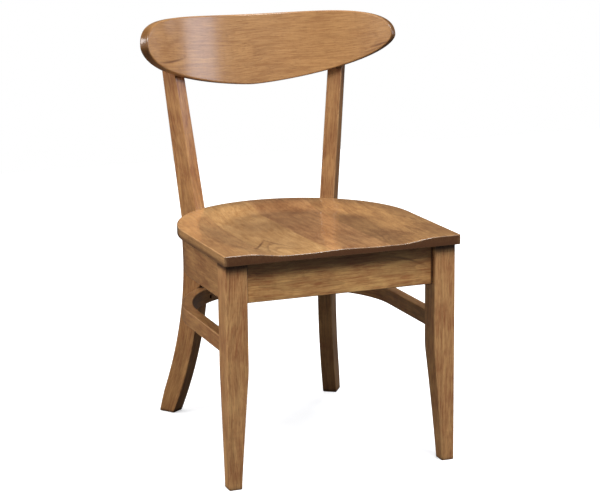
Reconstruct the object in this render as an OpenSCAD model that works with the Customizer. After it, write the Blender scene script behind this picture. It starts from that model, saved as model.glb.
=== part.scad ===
// Side chair in solid wood: scooped board seat, raked posts, curved crest rail and a bent bow stretcher.
// X runs to the sitter's left and right, the front looks along -Y, and the floor is Z = 0.
// The rear legs stand outside the bent seat hoop; seat, bow and crest rail all bear on their front faces.

/* [Seat] */
// Height of the seat rim above the floor
seat_top = 451; // [430:1:480]
// Thickness of the glued seat boards
seat_thick = 19; // [17:0.5:26]
// How far the seat's rounded back stands out over the hoop
seat_over_hoop = 16; // [6:1:24]
// How far the seat stands out beside each front leg
seat_over_leg = 5; // [2:0.5:19]
// How far the seat stands out ahead of the front legs
seat_lip = 14; // [8:1:30]
// Radius of the seat's front corners, seen from above
seat_corner_r = 4; // [3.5:0.5:12]
// Rounding of the seat's upper edge
seat_ease = 2; // [1:0.5:3]
// Depth of the flats where the seat bears on the rear legs
seat_let_in = 1.2; // [0.8:0.1:2]
// Places of the glue lines across the seat
seat_joints = [-146, -28, 92];

/* [Scoop] */
// Depth of the scoop where it runs out over the front edge
scoop_front = 7.7; // [4:0.1:10]
// Depth of the scoop under the sitter
scoop_deep = 11; // [6:0.5:13]
// Flat margin beside the scoop at the front edge
scoop_margin_front = 45; // [25:1:60]
// Flat margin round the back of the scoop
scoop_margin_back = 22; // [12:1:40]
// Width of the slope from the margin down to the hollow
scoop_slope = 80; // [50:1:110]
// Height of the ridge between the thighs at the front edge
pommel_front = 1.8; // [0:0.1:4]
// Height of that ridge where it stands highest
pommel_high = 3.5; // [0:0.1:6]
// Half width of that ridge
pommel_half = 70; // [40:1:90]

/* [Front legs] */
// How far each front leg stands out beside the hoop
leg_stand_out = 9; // [0:0.5:10]
// How far the front legs' front faces stand ahead of the origin
front_reach = 264; // [250:1:290]
// Width of a front leg
front_leg_w = 43; // [38:0.5:50]
// Depth of a front leg
front_leg_d = 46; // [40:0.5:52]
// Width of a front leg at the floor
front_foot_w = 25.5; // [22:0.5:34]
// Depth of a front leg at the floor
front_foot_d = 28.5; // [24:0.5:36]
// Height at which the taper starts
taper_top = 240; // [180:1:250]
// Rounding of the front legs' long edges
front_leg_ease = 2.5; // [1:0.5:5]

/* [Rear legs] */
// Height of the posts' upper ends
post_top = 815; // [790:1:830]
// Width of a rear leg across its front face
rear_leg_w = 30.5; // [26:0.5:36]
// Depth of a rear leg at the seat
rear_leg_d = 44; // [38:0.5:50]
// Depth of a rear leg at the floor
rear_foot_d = 37.5; // [30:0.5:44]
// Depth of a post at its upper end
post_top_d = 29.5; // [24:0.5:36]
// Turn of the rear legs' front faces away from straight ahead
leg_turn = 35.5; // [32:0.5:40]
// How far the rear legs stand outward along their own faces
leg_stray = 8.5; // [0:0.5:10]
// Sideways lean of the rear legs, per unit of height
leg_lean = 0.039; // [0.02:0.001:0.05]
// How far the foot sweeps back behind the leg's straight stretch
foot_sweep = 89; // [60:1:110]
// How late the sweep sets in on its way down: 1 is a straight slope
foot_curl = 1.86; // [1.5:0.01:2.2]
// How far the post rakes back for each unit of height
post_rake = 0.135; // [0.12:0.001:0.18]
// Rounding of the rear legs' long edges
rear_leg_ease = 2.5; // [1:0.5:5]

/* [Aprons] */
// Height of the front apron and the seat hoop
apron_high = 78; // [60:1:90]
// Thickness of the front apron
apron_thick = 20; // [18:0.5:25]
// How far the front apron stands back from the legs' front faces
apron_set_back = 9.8; // [4:0.1:14]
// Outer radius of the hoop's rounded back
hoop_r = 222; // [216:1:226]
// Thickness of the hoop
hoop_thick = 20; // [18:0.5:22]
// Distance of the rounding's centre behind the front legs' front faces
hoop_centre = 248; // [236:1:256]
// Depth of the flats where the rear legs bear on the hoop
hoop_let_in = 1.6; // [1:0.1:2.5]

/* [Bow stretcher] */
// How far the bow stands out beyond the hoop
bow_stand_out = 4; // [0:0.5:7]
// Thickness of the bow
bow_thick = 22; // [18:0.5:24]
// Height of the bow's lower face
bow_low = 255; // [252:1:262]
// Height of the bow itself
bow_high = 31; // [26:0.5:34]
// Depth of the flats where the bow bears on the rear legs
bow_let_in = 1.2; // [0.8:0.1:2]

/* [Crest rail] */
// How far the crest rail's middle lies below the posts' upper ends
crest_drop = 44; // [25:1:60]
// Radius of the crest rail's hollow front
crest_r = 327; // [315:1:350]
// Thickness of the crest rail
crest_thick = 17.5; // [15:0.1:22]
// Lean of the crest rail
crest_lean = 9.5; // [8:0.1:11]
// Half length of the crest rail, measured round its hollow front
crest_half = 298; // [280:1:305]
// Height of the upper edge above the widest place
crest_rise = 62.3; // [55:0.1:70]
// Depth of the belly below the widest place
crest_belly = 81.2; // [70:0.1:90]
// Height of the widest place above the rail's middle
crest_widest = 2.3; // [0:0.1:14]
// How flat the upper edge runs before it turns down
crest_upper_flat = 3.92; // [3:0.01:5]
// How square the upper edge ends
crest_upper_square = 2.34; // [2:0.01:3]
// How flat the lower edge runs before it turns up
crest_lower_flat = 1.43; // [1.2:0.01:2]
// How square the lower edge ends
crest_lower_square = 1.84; // [1.5:0.01:2.5]
// Rounding of the crest rail's edges
crest_ease = 3; // [1:0.5:5]
// Depth of the housings that the crest rail sits in
crest_let_in = 1.2; // [0.6:0.1:2]

/* [Joinery] */
// Diameter of the dowels
dowel_d = 10; // [8:0.5:12]
// Length of a dowel
dowel_long = 40; // [30:1:44]
// Clearance round a dowel or screw
play = 0.1; // [0.05:0.01:0.15]
// Shank diameter of the screws
screw_d = 4; // [3.5:0.1:5]
// Head diameter of the screws
screw_head_d = 8; // [7:0.1:9]
// Thickness of the corner blocks
block_high = 45; // [35:1:55]

/* [Hidden] */

// Finishes
maple = "#b08355";
maple_dark = "#9c7046";
beech = "#d9b98c";
steel = "#b9bcc0";

// Smoothness
round_fn = 96;
hole_fn = 32;
past = 1;
quarter = 90;

// Heights and faces that pieces share
frame_top = seat_top - seat_thick;
frame_low = frame_top - apron_high;
front_y = -front_reach;
leg_half = hoop_r + leg_stand_out;
seat_half = leg_half + seat_over_leg;
seat_back_r = hoop_r + seat_over_hoop;
bow_r = hoop_r + bow_stand_out;
leg_inner_x = leg_half - front_leg_w;
leg_back_y = front_y + front_leg_d;
apron_y = front_y + apron_set_back;
apron_back_y = apron_y + apron_thick;
hoop_y = front_y + hoop_centre;
hoop_in = hoop_r - hoop_thick;
bow_mid = bow_low + bow_high / 2;

// Rear leg: where its straight stretch stands, and the way its front face looks
leg_out = [-sin(leg_turn), cos(leg_turn)];
leg_side = [cos(leg_turn), sin(leg_turn)];
lean_mid = frame_low + apron_high / 2;
rake_start = frame_top;
knee_high = frame_low;
leg_ref = [0, hoop_y] + (hoop_r - hoop_let_in) * leg_out - leg_stray * leg_side;
bow_housing = sweep_back(bow_low);
bow_y = bearing_centre(bow_r - bow_let_in, bow_housing);
seat_housing = sweep_back(seat_top);
seat_y = bearing_centre(seat_back_r - seat_let_in, seat_housing);
seat_front_y = front_y - seat_lip;

// Crest rail: the axis its hollow front turns round
crest_mid = post_top - crest_drop;
crest_back_r = crest_r + crest_thick;
post_at_crest = leg_ref + lean_shift(crest_mid) * leg_side + sweep_back(crest_mid) * leg_out;
crest_axis_y = post_at_crest[1]
    - sqrt(pow(crest_back_r - crest_let_in, 2) - pow(post_at_crest[0], 2)) / cos(crest_lean);

// Sideways place of a rear leg's middle at a height, from where it stands at the hoop
function lean_shift(z) = leg_lean * (lean_mid - z);

// How far a rear leg's front face lies behind its straight stretch at a height
function sweep_back(z) =
    z < knee_high ? foot_sweep * pow((knee_high - z) / knee_high, foot_curl)
    : z > rake_start ? post_rake * (z - rake_start)
    : 0;

// Depth of a rear leg at a height
foot_swell = 60;
function rear_depth(z) =
    z < foot_swell ? rear_foot_d + (rear_leg_d - rear_foot_d) * sin(quarter * z / foot_swell)
    : z < lean_mid ? rear_leg_d
    : rear_leg_d + (post_top_d - rear_leg_d) * (z - lean_mid) / (post_top - lean_mid);

// Centre of a round back that bears on the rear legs at a given distance behind their straight stretch
function bearing_centre(reach, behind) = (leg_ref * leg_out + behind - reach) / leg_out[1];

// Rectangle with rounded corners, as a ring of points at a height
corner_steps = 3;
function soft_rect(x0, x1, y0, y1, r, z) = [
    for (k = [0 : 3])
        for (i = [0 : corner_steps])
            let (
                a = quarter * (k + i / corner_steps),
                corner_x = k == 1 || k == 2 ? x0 + r : x1 - r,
                corner_y = k < 2 ? y1 - r : y0 + r
            )
                [corner_x + r * cos(a), corner_y + r * sin(a), z]
];

// Solid skin over a stack of rings that all have the same number of points.
// The end rings are closed flat, or with fans to a lower and an upper tip where these are given.
module loft(rings, tips = []) {
    n = len(rings[0]);
    m = len(rings);
    points = concat([for (ring = rings) for (p = ring) p], tips);
    sides = [
        for (k = [0 : m - 2]) for (i = [0 : n - 1])
            let (j = (i + 1) % n)
                each [[k * n + i, (k + 1) * n + i, (k + 1) * n + j], [k * n + i, (k + 1) * n + j, k * n + j]]
    ];
    first = [for (i = [0 : n - 1]) i];
    last = [for (i = [n - 1 : -1 : 0]) (m - 1) * n + i];
    fans = [for (i = [0 : n - 1])
        let (j = (i + 1) % n)
            each [[i, j, m * n], [(m - 1) * n + i, m * n + 1, (m - 1) * n + j]]];
    polyhedron(points, concat(sides, tips == [] ? [first, last] : fans));
}

// A straight wooden dowel along +Z with chamfered ends, its middle at the origin
dowel_chamfer = 1;
module dowel() {
    r = dowel_d / 2;
    h = dowel_long / 2;
    rotate_extrude($fn = hole_fn)
        polygon([
            [0, -h], [r - dowel_chamfer, -h], [r, -h + dowel_chamfer],
            [r, h - dowel_chamfer], [r - dowel_chamfer, h], [0, h]
        ]);
}

// The hole that a dowel sits in
module dowel_hole() {
    cylinder(d = dowel_d + 2 * play, h = dowel_long + 2 * play, center = true, $fn = hole_fn);
}

// A countersunk screw along -Z, with the top of its head at the origin.
// Its square drive takes these shares of the head's width and height.
head_high = 3;
drive_width = 0.35;
drive_depth = 0.6;
module screw(long) {
    difference() {
        union() {
            translate([0, 0, -head_high])
                cylinder(d1 = screw_d, d2 = screw_head_d, h = head_high, $fn = hole_fn);
            translate([0, 0, -long])
                cylinder(d = screw_d, h = long - head_high, $fn = hole_fn);
        }
        drive = drive_width * screw_head_d;
        translate([-drive / 2, -drive / 2, -drive_depth * head_high])
            cube([drive, drive, head_high]);
    }
}

// The hole that a countersunk screw sits in, with a counterbore above its head
module screw_hole(long, bore = 0) {
    translate([0, 0, -head_high])
        cylinder(d1 = screw_d + 2 * play, d2 = screw_head_d + 2 * play, h = head_high, $fn = hole_fn);
    translate([0, 0, -long - play])
        cylinder(d = screw_d + 2 * play, h = long, $fn = hole_fn);
    if (bore > 0)
        translate([0, 0, -play])
            cylinder(d = screw_head_d + 2 * play, h = bore + play, $fn = hole_fn);
}

// Rectangle with rounded corners, its lower left corner at the origin
module eased_bar(w, h, r) {
    translate([r, 0]) square([w - 2 * r, h]);
    translate([0, r]) square([w, h - 2 * r]);
    for (x = [r, w - r]) for (y = [r, h - r])
        translate([x, y]) circle(r, $fn = hole_fn);
}

// Both hands of what is drawn for the left side
module both_sides() {
    children();
    mirror([1, 0, 0]) children();
}

// The place of the left rear leg: X along its front face, Y through its depth
module at_rear_leg() {
    translate([leg_ref[0], leg_ref[1], 0]) rotate([0, 0, leg_turn]) children();
}

// The shallow beds that the rear legs' front faces sit in, behind a plane parallel to those faces
bed_deep = 40;
module rear_leg_beds(plane, low, high) {
    w = rear_leg_w + 2 * play;
    h = high + 2 * past;
    both_sides() at_rear_leg()
        translate([lean_shift(low + high / 2), plane, low + high / 2]) rotate([0, -atan(leg_lean), 0])
            translate([-w / 2, 0, -h / 2]) cube([w, bed_deep, h]);
}

// A bar bent into a half round with two straight arms that end on the front legs
rail_ease = 2;
module bent_rail(outer_r, thick, high, low, centre_y) {
    arm = centre_y - leg_back_y;
    translate([0, centre_y, low]) {
        rotate_extrude(angle = 180, $fn = round_fn)
            translate([outer_r - thick, 0]) eased_bar(thick, high, rail_ease);
        for (x = [-outer_r, outer_r - thick])
            translate([x, 0, 0]) rotate([90, 0, 0]) linear_extrude(arm) eased_bar(thick, high, rail_ease);
    }
}

// Dowel places: along X into the front apron, along Y into the arms of the hoop and the bow.
// The two pairs stand at different shares of the apron's height, so that they pass each other in the leg.
apron_dowel_shares = [0.2, 0.64];
hoop_dowel_shares = [0.42, 0.86];
apron_dowel_z = [for (share = apron_dowel_shares) frame_low + share * apron_high];
hoop_dowel_z = [for (share = hoop_dowel_shares) frame_low + share * apron_high];
module at_front_apron_dowels() {
    for (z = apron_dowel_z) both_sides()
        translate([-leg_inner_x, apron_y + apron_thick / 2, z]) rotate([0, 90, 0]) children();
}
module at_hoop_dowels() {
    for (z = hoop_dowel_z) both_sides()
        translate([-hoop_r + hoop_thick / 2, leg_back_y, z]) rotate([90, 0, 0]) children();
}
module at_bow_dowels() {
    both_sides() translate([-bow_r + bow_thick / 2, leg_back_y, bow_mid]) rotate([90, 0, 0]) children();
}

// Rear leg screws: out through the hoop and the bow into the legs, and forward through the posts
leg_screw_shares = [0.25, 0.75];
leg_screw_z = [for (share = leg_screw_shares) frame_low + share * apron_high];
leg_screw_bite = 28;
leg_screw_bed = 14;
module at_leg_screws() {
    for (z = leg_screw_z) both_sides() at_rear_leg()
        translate([lean_shift(z), -leg_screw_bed, z]) rotate([90, 0, 0]) children();
}
bow_screw_drop = 4;
bow_screw_z = bow_mid - bow_screw_drop;
module at_bow_screws() {
    both_sides() at_rear_leg()
        translate([lean_shift(bow_screw_z), bow_housing - leg_screw_bed, bow_screw_z])
            rotate([90, 0, 0]) children();
}
crest_screws_below = 18;
crest_screws_above = 22;
crest_screw_z = [crest_mid - crest_screws_below, crest_mid + crest_screws_above];
crest_screw_bite = 9;
crest_screw_sunk = 1;
function crest_screw_long(z) = rear_depth(z) + crest_screw_bite;
module crest_screw_parts(hole) {
    for (z = crest_screw_z) both_sides() at_rear_leg()
        translate([lean_shift(z), sweep_back(z) + rear_depth(z) - crest_screw_sunk, z])
            rotate([-90, 0, 0])
                if (hole) screw_hole(crest_screw_long(z), 2 * crest_screw_sunk);
                else screw(crest_screw_long(z));
}

// Corner and back blocks: where they stand and where their screws run
block_reach = 70;
block_land = 14;
block_bed = 18;
block_bite = 14;
block_screw_long = block_bed + block_bite;
block_mid_z = frame_top - block_high / 2;
corner_screw_in = 52;
corner_screw_back = 44;
seat_screw_bed = 25;
seat_screw_bite = 12;
seat_screw_long = seat_screw_bed + seat_screw_bite;
seat_screw_z = frame_top - seat_screw_bed;
seat_screw_in = 16;
seat_screw_back = 12;
back_block_deep = 24;
back_block_wide = 58;
back_block_bearing = 20;
back_screw_out = 18;
back_screw_long = back_block_deep + block_bite;

module at_corner_block_screws() {
    both_sides() {
        translate([-leg_inner_x + corner_screw_in, apron_back_y + block_bed, block_mid_z])
            rotate([-90, 0, 0]) children();
        translate([-hoop_in + block_bed, leg_back_y + corner_screw_back, block_mid_z])
            rotate([0, 90, 0]) children();
    }
}
module at_back_block() {
    translate([0, hoop_y, 0]) rotate([0, 0, back_block_bearing]) children();
}
module at_back_block_screws() {
    both_sides() at_back_block()
        for (x = [-back_screw_out, back_screw_out])
            translate([x, hoop_in - back_block_deep, block_mid_z]) rotate([90, 0, 0]) children();
}
module at_seat_screws() {
    both_sides() {
        translate([-leg_inner_x + seat_screw_in, leg_back_y + seat_screw_back, seat_screw_z])
            rotate([180, 0, 0]) children();
        at_back_block()
            translate([0, hoop_in - back_block_deep / 2, seat_screw_z]) rotate([180, 0, 0]) children();
    }
}

// Smooth step from 0 to 1
function ramp(t) = t <= 0 ? 0 : t >= 1 ? 1 : (1 - cos(180 * t)) / 2;
function mix(a, b, t) = a + (b - a) * t;

// Outline of one seat board from above, drawn in by an inset along the rim but not at a glue line
front_steps = 10;
flank_steps = 12;
arc_steps = 16;
function outer_flank(inset, side) =
    let (
        half = seat_half - inset,
        front = seat_front_y + inset,
        c = seat_corner_r - inset
    )
    concat(
        [for (i = [0 : corner_steps])
            let (a = quarter * (i / corner_steps - 1))
                [side * (half - c + c * cos(a)), front + c + c * sin(a)]],
        [for (i = [1 : flank_steps - corner_steps - 1])
            let (t = i / (flank_steps - corner_steps))
                [side * mix(half, seat_back_r - inset, t), mix(front + c, seat_y, t)]]
    );
function back_edge(x, inset) = seat_y + sqrt(pow(seat_back_r - inset, 2) - pow(x, 2));
function glued_flank(inset, x) = [
    for (i = [0 : flank_steps - 1]) [x, mix(seat_front_y + inset, back_edge(x, inset), i / flank_steps)]
];
function backwards(list) = [for (i = [len(list) - 1 : -1 : 0]) list[i]];
function board_outline(number, inset) =
    let (
        first = number == 0,
        last = number == len(seat_joints),
        r = seat_back_r - inset,
        left = first ? outer_flank(inset, -1) : glued_flank(inset, seat_joints[number - 1]),
        right = last ? outer_flank(inset, 1) : glued_flank(inset, seat_joints[number]),
        from = last ? 0 : acos(seat_joints[number] / r),
        to = first ? 2 * quarter : acos(seat_joints[number - 1] / r)
    )
    concat(
        [for (i = [1 : front_steps - 1]) mix(left[0], right[0], i / front_steps)],
        right,
        [for (i = [0 : arc_steps])
            let (a = mix(from, to, i / arc_steps)) [r * cos(a), seat_y + r * sin(a)]],
        backwards(left)
    );

// Depth of the scoop at a place: it follows the rounded back and sides and runs out over the front edge
scoop_run = 150;
pommel_run = 260;
function rim_distance(x, y) =
    y > seat_y ? seat_back_r - norm([x, y - seat_y])
    : mix(seat_half, seat_back_r, (y - seat_front_y) / (seat_y - seat_front_y)) - abs(x);
function scoop(x, y) =
    let (
        run = ramp((y - seat_front_y) / scoop_run),
        margin = mix(scoop_margin_front, scoop_margin_back, run),
        hollow = mix(scoop_front, scoop_deep, run) * ramp((rim_distance(x, y) - margin) / scoop_slope),
        ridge = mix(pommel_front, pommel_high, run) * (1 - ramp((y - seat_front_y) / pommel_run)),
        across = 1 - ramp(abs(x) / pommel_half)
    )
    hollow - ridge * across;

// A seat board: a level underside, an eased rim and the scooped top drawn in towards its middle
seat_ease_steps = 3;
seat_rings = [0.06, 0.13, 0.21, 0.3, 0.4, 0.5, 0.61, 0.73, 0.87];
function on_top(p, drop) = [p[0], p[1], seat_top - scoop(p[0], p[1]) - drop];
module seat_board_blank(number) {
    rim = board_outline(number, 0);
    inner = board_outline(number, seat_ease);
    middle = [for (k = [0, 1]) (max([for (p = rim) p[k]]) + min([for (p = rim) p[k]])) / 2];
    under = [for (p = rim) [p[0], p[1], frame_top]];
    edge = [for (i = [0 : seat_ease_steps])
        let (a = quarter * i / seat_ease_steps)
            [for (p = board_outline(number, seat_ease * (1 - cos(a)))) on_top(p, seat_ease * (1 - sin(a)))]];
    dish = [for (share = seat_rings) [for (p = inner) on_top(mix(p, middle, share), 0)]];
    loft(concat([under], edge, dish), [concat(middle, frame_top), on_top(middle, 0)]);
}
module seat_board(number) {
    color(number % 2 == 0 ? maple : maple_dark)
        difference() {
            seat_board_blank(number);
            rear_leg_beds(seat_housing, frame_top, seat_thick);
            at_seat_screws() screw_hole(seat_screw_long);
        }
}
module seat_board_1() { seat_board(0); }
module seat_board_2() { seat_board(1); }
module seat_board_3() { seat_board(2); }
module seat_board_4() { seat_board(3); }

// Upper and lower edge of the crest rail, over the distance round its hollow front
crest_steps = 48;
function crest_share(s) = min(abs(s) / crest_half, 1);
function crest_upper(s) =
    crest_widest + crest_rise * pow(1 - pow(crest_share(s), crest_upper_flat), 1 / crest_upper_square);
function crest_lower(s) =
    crest_widest - crest_belly * pow(1 - pow(crest_share(s), crest_lower_flat), 1 / crest_lower_square);
function crest_ring(s) =
    let (
        a = s / crest_r * 180 / PI,
        end = min(crest_half - abs(s), crest_ease),
        thin = crest_ease - sqrt(pow(crest_ease, 2) - pow(crest_ease - end, 2)),
        r = min(crest_ease, (crest_upper(s) - crest_lower(s)) / 3) - thin / 2
    )
    [for (p = soft_rect(crest_r + thin, crest_back_r - thin, crest_lower(s), crest_upper(s), r, 0))
        [p[0] * sin(a), p[0] * cos(a), p[1]]];

// The crest rail's own place: its axis leans back with the posts
module at_crest() {
    translate([0, crest_axis_y, crest_mid]) rotate([-crest_lean, 0, 0])
        translate([0, 0, crest_r * tan(crest_lean)]) children();
}

// The feature that takes the most care: a bent board with a kidney outline on a leaning cylinder
crest_end = 88.5;
module crest_rail() {
    color(maple)
        difference() {
            at_crest()
                loft([for (i = [0 : crest_steps])
                    crest_ring(crest_half * sin(mix(-crest_end, crest_end, i / crest_steps)))]);
            crest_screw_parts(true);
        }
}

// Rings up a rear leg, close together where it curves
foot_ease = 1.5;
sweep_steps = 12;
rake_steps = 8;
function rear_leg_heights() = concat(
    [for (i = [0 : sweep_steps]) mix(foot_ease, knee_high, i / sweep_steps)],
    [lean_mid, rake_start],
    [for (i = [1 : rake_steps]) mix(rake_start, post_top - foot_ease, i / rake_steps)]
);
function rear_leg_ring(z, inset, ring_z) =
    soft_rect(
        lean_shift(z) - rear_leg_w / 2 + inset, lean_shift(z) + rear_leg_w / 2 - inset,
        sweep_back(z) + inset, sweep_back(z) + rear_depth(z) - inset,
        rear_leg_ease, ring_z
    );
module rear_leg_blank() {
    at_rear_leg()
        loft(concat(
            [rear_leg_ring(0, foot_ease, 0)],
            [for (z = rear_leg_heights()) rear_leg_ring(z, 0, z)],
            [rear_leg_ring(post_top, foot_ease, post_top)]
        ));
}

// What a leg loses where a rail or the seat is let into its front face
module rear_leg_housing(deep, low, high) {
    w = 2 * rear_leg_w;
    at_rear_leg()
        translate([-w / 2, deep - bed_deep, low - play]) cube([w, bed_deep, high + 2 * play]);
}

// A rear leg: one piece from the foot to the crest rail, housed for the bow and the crest rail
module rear_leg() {
    post_s = crest_r * asin(-post_at_crest[0] / crest_back_r) * PI / 180;
    shoulder = crest_lower(post_s - rear_leg_w / 2) - past;
    difference() {
        rear_leg_blank();
        rear_leg_housing(bow_housing, bow_low, bow_high);
        rear_leg_housing(seat_housing, frame_top, seat_thick);
        at_crest()
            translate([0, 0, shoulder])
                cylinder(r = crest_back_r, h = crest_rise + crest_belly, $fn = 2 * round_fn);
        at_leg_screws() screw_hole(leg_screw_bed + leg_screw_bite);
        at_bow_screws() screw_hole(leg_screw_bed + leg_screw_bite);
        crest_screw_parts(true);
    }
}
module rear_leg_left() { color(maple) rear_leg(); }
module rear_leg_right() { color(maple) mirror([1, 0, 0]) rear_leg(); }

// Front leg: two faces stay upright and the two inner ones taper to the foot
taper_blend = 0.12;
taper_bow = 0.15;
function taper(z) =
    let (
        share = max(1 - z / taper_top, 0),
        eased = share < taper_blend ? pow(share, 2) / (2 * taper_blend) : share - taper_blend / 2,
        part = eased / (1 - taper_blend / 2)
    )
    part * (1 + taper_bow * (1 - part));
function front_leg_ring(z, inset) =
    soft_rect(
        -leg_half + inset,
        -leg_half + mix(front_leg_w, front_foot_w, taper(z)) - inset,
        front_y + inset,
        front_y + mix(front_leg_d, front_foot_d, taper(z)) - inset,
        front_leg_ease, z
    );
taper_steps = 8;
blend_steps = 3;
function front_leg_heights() = concat(
    [for (i = [0 : taper_steps]) mix(foot_ease, taper_top * (1 - taper_blend), i / taper_steps)],
    [for (i = [1 : blend_steps]) taper_top * (1 - taper_blend * (1 - i / blend_steps))],
    [frame_top]
);
module front_leg() {
    difference() {
        loft(concat([front_leg_ring(0, foot_ease)], [for (z = front_leg_heights()) front_leg_ring(z, 0)]));
        at_front_apron_dowels() dowel_hole();
        at_hoop_dowels() dowel_hole();
        at_bow_dowels() dowel_hole();
    }
}
module front_leg_left() { color(maple) front_leg(); }
module front_leg_right() { color(maple) mirror([1, 0, 0]) front_leg(); }

module front_apron() {
    color(maple)
        difference() {
            translate([-leg_inner_x, apron_y, frame_low])
                rotate([90, 0, 90]) linear_extrude(2 * leg_inner_x)
                    eased_bar(apron_thick, apron_high, rail_ease);
            at_front_apron_dowels() dowel_hole();
            at_corner_block_screws() screw_hole(block_screw_long);
        }
}

module seat_hoop() {
    color(maple)
        difference() {
            bent_rail(hoop_r, hoop_thick, apron_high, frame_low, hoop_y);
            rear_leg_beds(0, frame_low, apron_high);
            at_hoop_dowels() dowel_hole();
            at_leg_screws() screw_hole(leg_screw_bed + leg_screw_bite, hoop_thick);
            at_corner_block_screws() screw_hole(block_screw_long);
            at_back_block_screws() screw_hole(back_screw_long);
        }
}

module bow_stretcher() {
    color(maple)
        difference() {
            bent_rail(bow_r, bow_thick, bow_high, bow_low, bow_y);
            rear_leg_beds(bow_housing, bow_low, bow_high);
            at_bow_dowels() dowel_hole();
            at_bow_screws() screw_hole(leg_screw_bed + leg_screw_bite, bow_thick);
        }
}

module corner_block() {
    difference() {
        translate([0, 0, frame_top - block_high])
            linear_extrude(block_high)
                polygon([
                    [block_reach - leg_inner_x, apron_back_y],
                    [block_reach - leg_inner_x, apron_back_y + block_land],
                    [block_land - hoop_in, leg_back_y + block_reach],
                    [-hoop_in, leg_back_y + block_reach],
                    [-hoop_in, leg_back_y],
                    [-leg_inner_x, leg_back_y],
                    [-leg_inner_x, apron_back_y]
                ]);
        at_corner_block_screws() screw_hole(block_screw_long, block_reach);
        at_seat_screws() screw_hole(seat_screw_long, block_high);
    }
}
module corner_block_left() { color(beech) corner_block(); }
module corner_block_right() { color(beech) mirror([1, 0, 0]) corner_block(); }

module back_block() {
    difference() {
        intersection() {
            at_back_block()
                translate([-back_block_wide / 2, hoop_in - back_block_deep, frame_top - block_high])
                    cube([back_block_wide, back_block_deep, block_high]);
            translate([0, hoop_y, frame_top - block_high - past])
                cylinder(r = hoop_in, h = block_high + 2 * past, $fn = round_fn);
        }
        at_back_block_screws() screw_hole(back_screw_long, past);
        at_seat_screws() screw_hole(seat_screw_long, block_high);
    }
}
module back_block_left() { color(beech) back_block(); }
module back_block_right() { color(beech) mirror([1, 0, 0]) back_block(); }

module front_apron_dowels() { color(beech) at_front_apron_dowels() dowel(); }
module seat_hoop_dowels() { color(beech) at_hoop_dowels() dowel(); }
module bow_dowels() { color(beech) at_bow_dowels() dowel(); }

module corner_block_screws() { color(steel) at_corner_block_screws() screw(block_screw_long); }
module back_block_screws() { color(steel) at_back_block_screws() screw(back_screw_long); }
module seat_screws() { color(steel) at_seat_screws() screw(seat_screw_long); }
module rear_leg_screws() { color(steel) at_leg_screws() screw(leg_screw_bed + leg_screw_bite); }
module bow_screws() { color(steel) at_bow_screws() screw(leg_screw_bed + leg_screw_bite); }
module crest_screws() { color(steel) crest_screw_parts(false); }

seat_board_1();
seat_board_2();
seat_board_3();
seat_board_4();
crest_rail();
rear_leg_left();
rear_leg_right();
front_leg_left();
front_leg_right();
front_apron();
seat_hoop();
bow_stretcher();
corner_block_left();
corner_block_right();
back_block_left();
back_block_right();
front_apron_dowels();
seat_hoop_dowels();
bow_dowels();
corner_block_screws();
back_block_screws();
seat_screws();
rear_leg_screws();
bow_screws();
crest_screws();
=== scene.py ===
"""Side chair in stained maple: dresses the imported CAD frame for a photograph-like view.

Lengths in the classes are millimetres, in the CAD's own frame; meshes are put down in metres.
"""

import logging
from collections.abc import Sequence
from dataclasses import dataclass
from enum import Enum, IntEnum
from functools import partial
from typing import Any

import bmesh
import bpy
import numpy as np
from mathutils import Matrix, Vector

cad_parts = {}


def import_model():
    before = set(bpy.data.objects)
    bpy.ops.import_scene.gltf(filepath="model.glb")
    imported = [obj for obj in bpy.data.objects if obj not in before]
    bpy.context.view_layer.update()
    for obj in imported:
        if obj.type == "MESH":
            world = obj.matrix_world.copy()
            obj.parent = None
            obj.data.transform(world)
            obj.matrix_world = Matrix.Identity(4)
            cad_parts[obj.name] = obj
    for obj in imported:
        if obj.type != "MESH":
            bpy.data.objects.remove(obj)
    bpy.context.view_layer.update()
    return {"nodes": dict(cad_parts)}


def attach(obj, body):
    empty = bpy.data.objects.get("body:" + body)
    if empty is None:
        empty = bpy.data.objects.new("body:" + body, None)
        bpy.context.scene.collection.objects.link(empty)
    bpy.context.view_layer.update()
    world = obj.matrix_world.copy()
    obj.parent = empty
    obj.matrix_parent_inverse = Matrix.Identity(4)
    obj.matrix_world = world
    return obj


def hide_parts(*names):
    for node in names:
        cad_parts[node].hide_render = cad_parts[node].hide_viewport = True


LOG = logging.getLogger("side_chair")
Array = np.ndarray
Pair = tuple[float, float]
Triple = tuple[float, float, float]
Socket = bpy.types.NodeSocket

MM = 0.001
# Edges that turn further than this, in degrees, shade as edges
SHARP_TURN = 40.0
# An arris pales, by wear and painted highlight, past the first turn, fully over the second more, in degrees
RUB_SHEEN_FROM, RUB_SHEEN_RANGE = 1.5, 5.0
# How much of that paling is left on an upright face's arris; it fades on faces that look down
RUB_SHEEN_UPRIGHT = 0.6
# Points closer than this, in metres, are one, and edges shorter than this are none
TOUCHING, NO_LENGTH = 1e-6, 1e-7
# The first and last points inside a flat stand this share of it from its ends, so that the flat shades flat
NEAR_END = 0.02
BORE_SIDES = 40


class Side(IntEnum):
    """A side of the chair, as the sign of X there."""

    LEFT = -1
    RIGHT = 1


# Small helpers


def mix(a: Any, b: Any, t: Any) -> Any:
    """Straight line from a to b as t runs from 0 to 1."""
    return a + (b - a) * t


def ramp(t: Array) -> Array:
    """Cosine step from 0 to 1, flat outside that range."""
    return (1.0 - np.cos(np.pi * np.clip(t, 0.0, 1.0))) / 2.0


def quarter(count: int) -> Array:
    """Angles of a quarter turn, in radians."""
    return np.radians(np.linspace(0.0, 90.0, count))


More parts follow.
